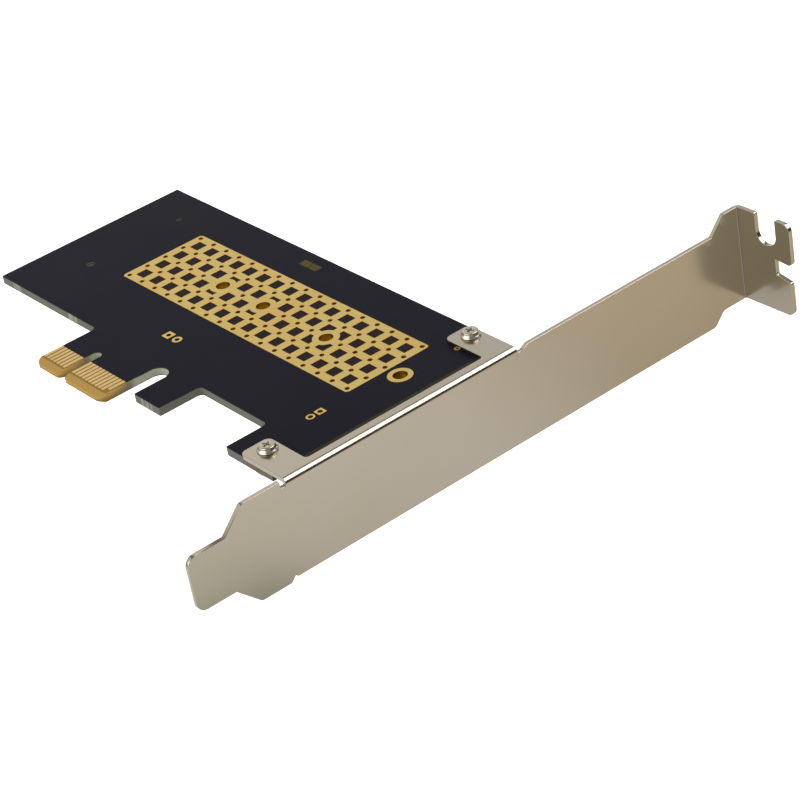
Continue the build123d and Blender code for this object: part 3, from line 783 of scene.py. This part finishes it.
def copies_of(part, places, paint):
    """Mesh data of a part, built about the origin, put at each place."""
    tree, given, made = new_tree("Copies at places", ("Part", "Object"))
    source = add(tree, "GeometryNodeObjectInfo", {"Object": given["Part"]}, transform_space="ORIGINAL")
    end_tree(tree, made, given["Geometry"], source.outputs["Geometry"], paint)
    original = link(bpy.data.objects.new("original", mesh_data("original", part)))
    copies = run_tree(tree, marked_points(places), {"Part": original})
    bpy.data.objects.remove(original)
    return copies


def lattice_tree(paint):
    """Lined holes on a square lattice. The mesh that comes in marks the places that stay free."""
    tree, given, made = new_tree(
        "Lattice of lined holes", ("Columns", "Int", 17), ("Rows", "Int", 5), ("Pitch", "Float", 0.004),
        ("Centre", "Vector"), ("Radius", "Float", 0.0005), ("Wall", "Float", 0.00003), ("Depth", "Float", 0.0016),
        ("Free radius", "Float", 0.0024), ("Sides", "Int", 12))
    sides = {f"Size {axis}": times(tree, less(tree, given[label], 1.0), given["Pitch"])
             for axis, label in (("X", "Columns"), ("Y", "Rows"))}
    grid = add(tree, "GeometryNodeMeshGrid", {
        **sides, "Vertices X": given["Columns"], "Vertices Y": given["Rows"]})
    moved = add(tree, "GeometryNodeTransform", {"Geometry": grid.outputs[0], "Translation": given["Centre"]})
    near = add(tree, "GeometryNodeProximity", {0: given["Geometry"]}, target_element="POINTS").outputs["Distance"]
    taken = compare(tree, near, given["Free radius"], "FLOAT", "LESS_THAN")
    middle = less(tree, given["Radius"], times(tree, given["Wall"], 0.5))
    circle = add(tree, "GeometryNodeCurvePrimitiveCircle", {
        "Resolution": given["Sides"], "Radius": middle}, mode="RADIUS")
    section = add(tree, "GeometryNodeCurvePrimitiveQuadrilateral", {
        "Width": given["Wall"], "Height": given["Depth"]}, mode="RECTANGLE")
    ring = add(tree, "GeometryNodeCurveToMesh", {"Curve": circle.outputs[0], "Profile Curve": section.outputs[0]})
    return end_tree(tree, made, without(tree, moved.outputs[0], taken), ring.outputs[0], paint)


def thread_tree(paint):
    """A three-sided ridge wound round an upright axis, at every point that comes in."""
    tree, given, made = new_tree(
        "Screw thread", ("Radius", "Float", 0.001), ("Height", "Float", 0.003), ("Turns", "Float", 8.0),
        ("Ridge", "Float", 0.0001))
    spiral = add(tree, "GeometryNodeCurveSpiral", {
        "Resolution": 24, "Rotations": given["Turns"], "Start Radius": given["Radius"],
        "End Radius": given["Radius"], "Height": given["Height"]})
    ridge = add(tree, "GeometryNodeCurvePrimitiveCircle", {"Resolution": 3, "Radius": given["Ridge"]}, mode="RADIUS")
    swept = add(tree, "GeometryNodeCurveToMesh", {
        "Curve": spiral.outputs[0], "Profile Curve": ridge.outputs[0], "Fill Caps": True})
    return end_tree(tree, made, given["Geometry"], swept.outputs[0], paint)


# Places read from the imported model


def drive_hole_places():
    """The centres of the four drive screw holes."""
    mounts = frame["record"]["mounts"]
    return [Vector(mount["pos_m"]) for mount in mounts if mount["name"].startswith("drive_screw_")]


def solid_groups(mesh):
    """The vertices of each separate solid of a mesh."""
    left = set(mesh.verts)
    groups = []
    while left:
        start = left.pop()
        group, queue = [start], [start]
        while queue:
            for edge in queue.pop().link_edges:
                for vertex in left.intersection(edge.verts):
                    left.remove(vertex)
                    group.append(vertex)
                    queue.append(vertex)
        groups.append(group)
    return groups


def corners_of(group):
    """The low and high corners of a group of vertices."""
    low = Vector(min(v.co[n] for v in group) for n in range(3))
    high = Vector(max(v.co[n] for v in group) for n in range(3))
    return low, high


def islands(node):
    """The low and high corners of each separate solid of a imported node."""
    mesh = packed_mesh(node)
    boxes = [corners_of(group) for group in solid_groups(mesh)]
    mesh.free()
    return sorted(boxes, key=lambda pair: (*pair[0],))


def first_solid(node, axis):
    """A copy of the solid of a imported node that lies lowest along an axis."""
    mesh = cad_copy(node)
    groups = sorted(solid_groups(mesh), key=lambda group: corners_of(group)[0][axis])
    spare = [vertex for group in groups[1:] for vertex in group]
    bmesh.ops.delete(mesh, geom=spare, context="VERTS")
    return mesh


# Operators, one for each piece or group of like pieces


class CARD_OT_circuit_board(bpy.types.Operator):
    """Board with its routed outline softened, solder mask and bare card edge"""

    bl_idname = "card.circuit_board"
    bl_label = "Circuit board"

    def execute(self, context):
        low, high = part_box("heat_pad_solder_side")
        centres = [(place.xy, 2.6 * MM) for place in drive_hole_places()]
        for node in ("header_pads_centre", "header_pads_beside_bracket", "earth_via"):
            centres += [(((a + b) / 2).xy, 1.9 * MM) for a, b in islands(node)]

        def on_outline(edge):
            one, two = (vertex.co for vertex in edge.verts)
            middle = (one + two) / 2
            upright = abs(one.z - two.z) > 0.5 * MM and abs(middle.z) < high.z - 0.25 * MM
            in_pad = low.x - MM < middle.x < high.x + MM and low.y - MM < middle.y < high.y + MM
            return not upright and not in_pad and all(
                (middle.xy - centre).length > radius for centre, radius in centres)

        mesh = soften(cad_copy("circuit_board"), context.scene.card_sizes.board_edge, 2, 40.0, on_outline)
        put_piece("board", mesh, "laminate", ["circuit_board"])
        return {"FINISHED"}


class CARD_OT_heat_pads(bpy.types.Operator):
    """Gold fields on both faces, with lined vias and lined drive screw holes"""

    bl_idname = "card.heat_pads"
    bl_label = "Heat pads and linings"

    def execute(self, context):
        sizes = context.scene.card_sizes
        dress("gold_field", "heat_pad_solder_side", "heat_pad_component_side")
        low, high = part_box("circuit_board")
        holes = drive_hole_places()
        first, last = islands("heat_pad_solder_side")[0]
        centre = Vector(((first.x + last.x) / 2, holes[0].y, 0.0))
        vias = run_tree(lattice_tree("barrel"), marked_points(holes), {
            "Columns": sizes.via_columns, "Rows": sizes.via_rows, "Pitch": sizes.via_pitch, "Centre": centre,
            "Radius": sizes.via_radius, "Wall": sizes.via_wall, "Depth": high.z - low.z})
        put_piece("via_linings", vias, "barrel", slot="tinned_land")
        outer, inner = sizes.drive_hole_radius, sizes.drive_hole_radius - sizes.drive_hole_wall
        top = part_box("heat_pad_solder_side")[1].z
        profile = ((inner, -top), (outer, -top), (outer, top), (inner, top), (inner, -top))
        rings = joined([lathe(profile, 48, place.xy) for place in holes])
        bmesh.ops.remove_doubles(rings, verts=rings.verts, dist=WELD)
        bmesh.ops.recalc_face_normals(rings, faces=rings.faces)
        put_piece("drive_hole_linings", rings, "shaded_hole_gold", slot="gold_field")
        return {"FINISHED"}


class CARD_OT_card_edge(bpy.types.Operator):
    """Gold contacts on both faces of the card edge"""

    bl_idname = "card.card_edge"
    bl_label = "Card edge contacts"

    def execute(self, context):
        dress("gold_contact", "edge_contacts_solder_side", "edge_contacts_component_side")
        return {"FINISHED"}


class CARD_OT_plated_lands(bpy.types.Operator):
    """Empty header footprints and the earth via"""

    bl_idname = "card.plated_lands"
    bl_label = "Plated lands"

    def execute(self, context):
        dress("tinned_land", "header_pads_centre", "header_pads_beside_bracket", "earth_via")
        return {"FINISHED"}


class CARD_OT_bracket(bpy.types.Operator):
    """Folded steel bracket with stamped, rounded edges"""

    bl_idname = "card.bracket"
    bl_label = "Bracket"

    def execute(self, context):
        mesh = cad_copy("bracket")
        # steps shorter than this would hold the rounding back
        bmesh.ops.remove_doubles(mesh, verts=mesh.verts, dist=0.03 * MM)
        soften(mesh, context.scene.card_sizes.sheet_edge, 3, 55.0)
        put_piece("bracket_sheet", mesh, "bracket_steel", ["bracket"])
        return {"FINISHED"}


class CARD_OT_fasteners(bpy.types.Operator):
    """Pan-head screws with a cross recess and a wound thread, and chamfered nuts"""

    bl_idname = "card.fasteners"
    bl_label = "Screws and nuts"

    def execute(self, context):
        sizes = context.scene.card_sizes
        boxes = islands("bracket_screws")
        low, high = boxes[0]
        places = [Vector(((a.x + b.x) / 2, (a.y + b.y) / 2, 0.0)) for a, b in boxes]
        seat = high.z - sizes.head_height
        screw = self.headed_screw(low.z, seat, high.z, (high - low).x / 2, sizes.head_recess)
        starts = [(place.x, place.y, low.z + 0.15 * MM) for place in places]
        height = seat - low.z - 0.5 * MM
        thread = run_tree(thread_tree("screw_steel"), marked_points(starts), {
            "Radius": sizes.thread_radius, "Height": height, "Turns": height / sizes.thread_pitch,
            "Ridge": sizes.thread_ridge})
        screws = joined([copies_of(screw, places, "screw_steel"), thread])
        put_piece("screws", screws, "screw_steel", ["bracket_screws"], smooth=50.0)
        low, high = islands("bracket_nuts")[0]
        nut = self.chamfered_nut(low.z, high.z, (high - low).x / 2, sizes.nut_bore)
        put_piece("nuts", copies_of(nut, places, "screw_steel"), "screw_steel", ["bracket_nuts"], smooth=35.0)
        return {"FINISHED"}

    def headed_screw(self, tip, seat, top, reach, recess):
        """A turned screw with its cross recess, about the origin."""
        steps = (
            (0.0, tip), (0.60 * MM, tip), (0.86 * MM, tip + 0.26 * MM), (0.86 * MM, seat - 0.3 * MM),
            (1.0 * MM, seat - 0.05 * MM), (1.0 * MM, seat),
            *((reach + beyond * MM, seat + above * MM) for beyond, above in HEAD_SIDE),
            (reach - 0.48 * MM, top - 0.018 * MM), (reach - 0.70 * MM, top - 0.006 * MM), (0.0, top))
        screw = lathe(steps, 64)
        for turn in RECESS_TURNS:
            screw = cut(screw, self.recess_arm(top, recess, turn))
        return screw

    def recess_arm(self, top, depth, turn):
        """One arm of the recess: narrower and shorter at its floor."""
        mesh = loft([
            oblong(0.82 * MM, 0.25 * MM, top + 0.1 * MM), oblong(0.76 * MM, 0.21 * MM, top - 0.10 * MM),
            oblong(0.38 * MM, 0.12 * MM, top - depth)])
        bmesh.ops.rotate(mesh, verts=mesh.verts, matrix=Matrix.Rotation(math.radians(turn), 3, "Z"))
        return mesh

    def chamfered_nut(self, low, high, flats, bore):
        """A hexagon nut about the origin, with its corners turned off and its bore countersunk."""
        corner = flats / math.cos(math.pi / 6)
        blank = lathe(((0.0, low), (corner, low), (corner, high), (0.0, high)), 6)
        turned = lathe((
            (0.0, low - 0.01 * MM), (flats * 0.96, low - 0.01 * MM), (flats * 1.2, low + 0.28 * MM),
            (flats * 1.2, high - 0.28 * MM), (flats * 0.96, high + 0.01 * MM), (0.0, high + 0.01 * MM)), 48)
        wide = bore + 0.25 * MM
        drill = lathe((
            (0.0, low - 0.1 * MM), (wide, low - 0.1 * MM), (bore, low + 0.15 * MM), (bore, high - 0.15 * MM),
            (wide, high + 0.1 * MM), (0.0, high + 0.1 * MM)), 48)
        return cut(cut(blank, turned, "INTERSECT"), drill)


class CARD_OT_drive_socket(bpy.types.Operator):
    """Moulded drive socket with its contacts and hold-down tabs"""

    bl_idname = "card.drive_socket"
    bl_label = "Drive socket"

    def execute(self, context):
        sizes = context.scene.card_sizes
        low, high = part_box("drive_socket_housing")
        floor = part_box("circuit_board")[0].z

        def on_outside(edge):
            sides = [all(min(abs(v.co[n] - low[n]), abs(v.co[n] - high[n])) < 1e-6 for v in edge.verts)
                     for n in (0, 1)]
            below = all(abs(v.co.z - low.z) < 1e-6 for v in edge.verts)
            return all(sides) or (below and any(sides))

        mesh = soften(cad_copy("drive_socket_housing"), 0.12 * MM, keep=on_outside)
        put_piece("socket_body", mesh, "socket_plastic", ["drive_socket_housing"])
        for row, number in (("upper_contacts", sizes.upper_pins), ("lower_contacts", sizes.lower_pins)):
            pin = soften(first_solid(f"socket_{row}", 1), sizes.pin_edge, 1)
            pins = row_of(pin, number, (0.0, sizes.pin_pitch, 0.0), "contact_metal", KEYED_PINS)
            put_piece(row, pins, "contact_metal", [f"socket_{row}"])
        tabs = soften(cad_copy("socket_hold_downs"), 0.06 * MM)
        put_piece("hold_down_tabs", tabs, "tinned_metal", ["socket_hold_downs"])
        solder = joined([land((a + b) / 2, (b - a).x / 2 + 0.2 * MM, (b - a).y / 2 + 0.25 * MM, floor)
                         for a, b in islands("socket_hold_downs")])
        put_piece("hold_down_solder", solder, "tinned_metal")
        return {"FINISHED"}


class CARD_OT_small_parts(bpy.types.Operator):
    """Capacitors, resistors, bead and indicator light on the component side"""

    bl_idname = "card.small_parts"
    bl_label = "Small parts"

    def execute(self, context):
        sizes = context.scene.card_sizes
        metal = []
        for node, name, paint, slot in (("ceramic_capacitors", "small_capacitors", "ceramic", None),
                                        ("chip_resistors", "resistors", "alumina", "resistor_glaze"),
                                        ("ferrite_bead", "bead", "ferrite", None)):
            size, places = self.sizes_and_places(node)
            put_piece(name, copies_of(self.chip_body(size, sizes), places, paint), paint, [node], slot)
            metal.append(copies_of(self.chip_ends(size, sizes), places, "tinned_metal"))
            if node == "chip_resistors":
                covers = copies_of(self.glaze_cover(size, sizes), places, "resistor_glaze")
                put_piece("resistor_covers", covers, "resistor_glaze")
        size, places = self.sizes_and_places("bulk_capacitors")
        put_piece("large_capacitors", copies_of(self.moulded_case(size), places, "bulk_case"), "bulk_case",
                  ["bulk_capacitors"])
        fields = copies_of(self.polarity_field(size), places, "pale_print")
        put_piece("polarity_fields", fields, "pale_print", slot="bulk_case")
        metal.append(copies_of(self.case_terminals(size, sizes), places, "tinned_metal"))
        size, places = self.sizes_and_places("status_led")
        base = 0.35 * MM
        put_piece("indicator_light", copies_of(self.light_body(size, base), places, "led_body"), "led_body",
                  ["status_led"])
        metal.append(copies_of(self.chip_ends((*size[:2], base), sizes), places, "tinned_metal"))
        put_piece("part_terminals", joined(metal), "tinned_metal")
        return {"FINISHED"}

    def sizes_and_places(self, node):
        """The size of a node's like parts, and where each lies on the board's component side."""
        boxes = islands(node)
        low, high = boxes[0]
        return tuple(high - low), [Vector(((a.x + b.x) / 2, (a.y + b.y) / 2, b.z)) for a, b in boxes]

    def chip_body(self, size, sizes):
        """A chip's body, a little slimmer than its metal ends."""
        x, y, z = size
        slim = 0.02 * MM
        return soft_box((-x / 2 + slim, -y / 2 + slim, -z + slim), (x / 2 - slim, y / 2 - slim, -slim), sizes.part_edge)

    def chip_ends(self, size, sizes):
        """A chip's two metal ends, with the land and the solder fillet that hold each."""
        x, y, z = size
        parts = []
        for side in (-1, 1):
            a, b = sorted((side * x / 2, side * (x / 2 - sizes.end_cap)))
            middle = (side * (x / 2 + sizes.land_reach / 2 - 0.1 * MM), 0.0)
            parts += [soft_box((a, -y / 2, -z), (b, y / 2, 0.0), sizes.part_edge, 3),
                      solder_fillet(side * x / 2, side, y * 0.92, z * 0.62, sizes.land_reach),
                      land(middle, sizes.land_reach * 0.85, y * 0.62, 0.0)]
        return joined(parts)

    def glaze_cover(self, size, sizes):
        """The glazed field on top of a resistor, between its ends."""
        x, y, z = size
        reach, side = x / 2 - sizes.end_cap, y / 2 - 0.06 * MM
        return soft_box((-reach, -side, -z + 0.001 * MM), (reach, side, -z + 0.06 * MM), 0.02 * MM)

    def moulded_case(self, size):
        """A moulded case whose four walls lean in a little above and below the parting line."""
        x, y, z = size
        lean, line = 0.09 * MM, 0.02 * MM
        mesh = loft([oblong(x / 2 - 0.1 * MM - inset, y / 2 - inset, -depth)
                     for depth, inset in ((0.06 * MM, lean), (z * 0.48, line), (z * 0.52, line), (z, lean))])
        return soften(mesh, 0.07 * MM, 2, 30.0)

    def polarity_field(self, size):
        """The plain printed field at one end of a moulded case."""
        x, y, z = size
        mesh = soft_box((-x / 2 + 0.30 * MM, -y / 2 + 0.25 * MM, -z - 0.004 * MM),
                        (-x / 2 + 0.85 * MM, y / 2 - 0.25 * MM, -z + 0.05 * MM), 0.0)
        return soften(mesh, 0.08 * MM, 3, keep=lambda e: abs(e.verts[0].co.z - e.verts[1].co.z) > 0.01 * MM)

    def case_terminals(self, size, sizes):
        """Flat strips that come out of a case's ends at half height and fold down and under it."""
        x, y, z = size
        half, thick = y * 0.38, 0.1 * MM
        parts = []
        for side in (-1, 1):
            end = side * x / 2
            for inward, bottom, top in ((thick, -z * 0.50, 0.0), (0.9 * MM, -thick, 0.0),
                                        (0.25 * MM, -z * 0.52, -z * 0.52 + thick)):
                a, b = sorted((end, end - side * inward))
                parts.append(soft_box((a, -half, bottom), (b, half, top), 0.03 * MM))
            parts += [solder_fillet(end, side, half * 1.9, z * 0.28, sizes.land_reach * 1.3),
                      land((side * (x / 2 + 0.1 * MM), 0.0), sizes.land_reach * 1.6, half * 1.15, 0.0)]
        return joined(parts)

    def light_body(self, size, base):
        """The light's flat base and its raised lens."""
        x, y, z = size
        half_x, half_y = x / 2 - 0.02 * MM, y / 2 - 0.02 * MM
        body = soft_box((-half_x, -half_y, -base), (half_x, half_y, 0.0), 0.03 * MM)
        half_x, half_y = 0.55 * MM, y / 2 - 0.01 * MM
        lens = loft([oblong(half_x * 0.84, half_y * 0.80, -z), oblong(half_x, half_y, -base + 0.05 * MM)])
        return joined([body, soften(lens, 0.07 * MM, 3, 30.0)])


class CARD_OT_studio(bpy.types.Operator):
    """Plain pale floor, soft lights and the camera"""

    bl_idname = "card.studio"
    bl_label = "Studio"

    def execute(self, context):
        studio = context.scene.card_studio
        self.make_floor(studio)
        self.make_room(context.scene, studio)
        self.make_lamp("Softbox", (0.357, 0.540, 0.762), 0.64, studio.softbox_size, studio.softbox_power)
        self.make_lamp("Front fill", (-0.06, -0.945, 0.32), 0.85, studio.fill_size, studio.fill_power)
        self.make_camera(context.scene, studio)
        return {"FINISHED"}

    def make_floor(self, studio):
        """A pale floor. Metal sees it neutral beside the card, warmer beyond the ear and dark far away."""
        material = bpy.data.materials.new("Floor")
        material.use_nodes = True
        tree = material.node_tree
        shader = tree.nodes["Principled BSDF"].inputs
        place = millimetres(tree)
        x, y, z = parts_of(tree, place)

        # the tint that metal sees: greener below the bracket's lower end, warmer beyond its ear
        pale, greener, warm = (tuple(studio.reflected_floor * part for part in tint) for tint in (
            (1.0, 0.985, 0.975), (0.93, 0.985, 0.945), (0.80, 0.72, 0.57)))
        low_end = times(tree, ramp(tree, y, 12.0, 48.0, 1.0, 0.0), ramp(tree, x, 60.0, 100.0))
        reflected = mix(tree, ramp(tree, y, 84.0, 132.0), mix(tree, low_end, pale, greener), warm)

        # its brightness: least below the card, far away and below the ear
        near = times(tree, ramp(tree, x, 110.0, 150.0, 0.84, 1.0), ramp(tree, x, -30.0, 60.0, 0.75, 1.0))
        in_front = times(tree, ramp(tree, y, -34.0, -8.0, 1.0, 0.0), ramp(tree, x, -10.0, 60.0, 1.0, 0.0))
        below_ear = times(tree, ramp(tree, off(tree, x, 108.0), 9.0, 17.0, 0.6, 0.0),
                          ramp(tree, y, 30.0, 42.0, 1.0, 0.0))
        near = times(tree, largest(tree, near, times(tree, in_front, 1.04)), less(tree, 1.0, below_ear))
        away = add(tree, "ShaderNodeVectorMath", {0: place, 1: (100.0, 70.0, -studio.floor_depth / MM)},
                   operation="DISTANCE").outputs["Value"]
        shade = times(tree, near, ramp(tree, away, 220.0, 600.0, 1.0, 0.12))
        shade = largest(tree, shade, ramp(tree, less(tree, y, x), 300.0, 700.0))
        reflected = mix(tree, less(tree, 1.0, shade), reflected, (0.0, 0.0, 0.0))

        # the camera sees it plain, metal as above, and matt surfaces get its bounce
        path = add(tree, "ShaderNodeLightPath").outputs
        direct = path["Is Camera Ray"]
        seen = mix(tree, path["Is Glossy Ray"], (studio.floor_bounce,) * 3, reflected)
        fill(tree, shader["Base Color"], mix(tree, direct, (0.05, 0.05, 0.05), studio.floor_colour))
        fill(tree, shader["Emission Color"], mix(tree, direct, seen, (studio.floor_glow,) * 3))
        for key, value in (("Emission Strength", 1.0), ("Roughness", 0.9), ("Specular IOR Level", 0.0)):
            shader[key].default_value = value
        half = studio.floor_size / 2
        data = bpy.data.meshes.new("floor")
        data.from_pydata(oblong(half, half, -studio.floor_depth), [], [(0, 1, 2, 3)])
        data.materials.append(material)
        floor = link(bpy.data.objects.new("floor", data))

    def make_room(self, scene, studio):
        """A pale room that is dim overhead and in front."""
        world = bpy.data.worlds.new("Room")
        world.use_nodes = True
        tree = world.node_tree
        heading = add(tree, "ShaderNodeTexCoord").outputs["Generated"]

        def towards(direction, *limits):
            node = add(tree, "ShaderNodeVectorMath", {0: heading, 1: direction}, operation="DOT_PRODUCT")
            return ramp(tree, node.outputs["Value"], *limits)

        # the pale wall behind the card, brighter towards the left
        wall = towards((-0.83, -0.55, 0.0), 0.27, 0.41, 0.76, 1.0)
        back = times(tree, wall, towards((-0.71, 0.47, 0.52), 0.88, 0.97), studio.sky_back)
        # the horizon in front of the card and behind it, dark between the two on the right
        low = ramp(tree, parts_of(tree, heading)[2], 0.10, 0.38, 1.0, 0.0)
        front = times(tree, towards((0.45, -0.89, 0.0), 0.25, 0.75), 0.75)
        rear = times(tree, towards((-0.83, 0.55, 0.0), 0.2, 0.7), 1.2)
        ring = times(tree, low, largest(tree, front, rear))
        # dim light from everywhere else, least on the right, and a bright patch on the left
        dim = times(tree, towards((0.88, 0.47, 0.0), 0.75, 0.97, 1.0, 0.15), studio.sky_front)
        left = towards((-0.70, -0.55, 0.46), 0.80, 0.95)
        background = tree.nodes["Background"].inputs
        fill(tree, background["Strength"], largest(tree, back, ring, dim, left))
        fill(tree, background["Color"], (1.0, 0.995, 0.985))
        scene.world = world

    def make_lamp(self, name, direction, distance, size, power):
        """A round lamp that faces the card from a direction."""
        middle = Vector((0.030, 0.030, 0.0))
        lamp = bpy.data.lights.new(name, "AREA")
        lamp.shape = "DISK"
        lamp.size = size
        lamp.energy = power
        item = link(bpy.data.objects.new(name, lamp))
        item.location = middle + Vector(direction) * distance
        item.rotation_euler = (middle - item.location).to_track_quat("-Z", "Y").to_euler()

    def make_camera(self, scene, studio):
        """The camera that was fitted to the photo, turned by half a pixel to the photo's pixel centres."""
        right = Vector((0.6244, 0.76511, -0.15726)).normalized()
        forward = Vector((-0.71175, 0.47438, -0.51804)).normalized()
        half_pixel = 0.5 / (800 * studio.lens / 36.0)
        forward = (forward - right * half_pixel + right.cross(forward) * half_pixel).normalized()
        right = (right - forward * right.dot(forward)).normalized()
        lens = bpy.data.cameras.new("Camera")
        lens.sensor_width = 36.0
        lens.lens = studio.lens
        camera = link(bpy.data.objects.new("Camera", lens))
        turn = Matrix((right, right.cross(forward), -forward)).transposed().to_4x4()
        camera.matrix_world = Matrix.Translation(studio.camera_place) @ turn
        scene.camera = camera
        scene.view_settings.view_transform = "Standard"


PIECES = (
    CARD_OT_circuit_board,
    CARD_OT_heat_pads,
    CARD_OT_card_edge,
    CARD_OT_plated_lands,
    CARD_OT_bracket,
    CARD_OT_fasteners,
    CARD_OT_drive_socket,
    CARD_OT_small_parts,
    CARD_OT_studio,
)


class CARD_PT_sidebar(bpy.types.Panel):
    """Lists the card's pieces, sizes and colours"""

    bl_idname = "CARD_PT_sidebar"
    bl_label = "Adapter card"
    bl_space_type = "VIEW_3D"
    bl_region_type = "UI"
    bl_category = "Adapter card"

    def draw(self, context):
        layout = self.layout
        for piece in PIECES:
            layout.operator(piece.bl_idname)
        for title, group in (("Sizes", context.scene.card_sizes), ("Colours", context.scene.card_colours),
                             ("Studio", context.scene.card_studio)):
            box = layout.box()
            box.label(text=title)
            for name in group.__annotations__:
                box.prop(group, name)


CLASSES = (CardSizes, CardColours, StudioSizes, *PIECES, CARD_PT_sidebar)


def register():
    """Register the classes and hang their settings on the scene."""
    for item in CLASSES:
        bpy.utils.register_class(item)
    bpy.types.Scene.card_sizes = PointerProperty(type=CardSizes)
    bpy.types.Scene.card_colours = PointerProperty(type=CardColours)
    bpy.types.Scene.card_studio = PointerProperty(type=StudioSizes)


def unregister():
    """Take the settings and the classes away again."""
    del bpy.types.Scene.card_studio
    del bpy.types.Scene.card_colours
    del bpy.types.Scene.card_sizes
    for item in reversed(CLASSES):
        bpy.utils.unregister_class(item)


def main():
    """Build every piece in order."""
    register()
    for piece in PIECES:
        group, name = piece.bl_idname.split(".")
        getattr(getattr(bpy.ops, group), name)()


if __name__ == "__main__":
    main()
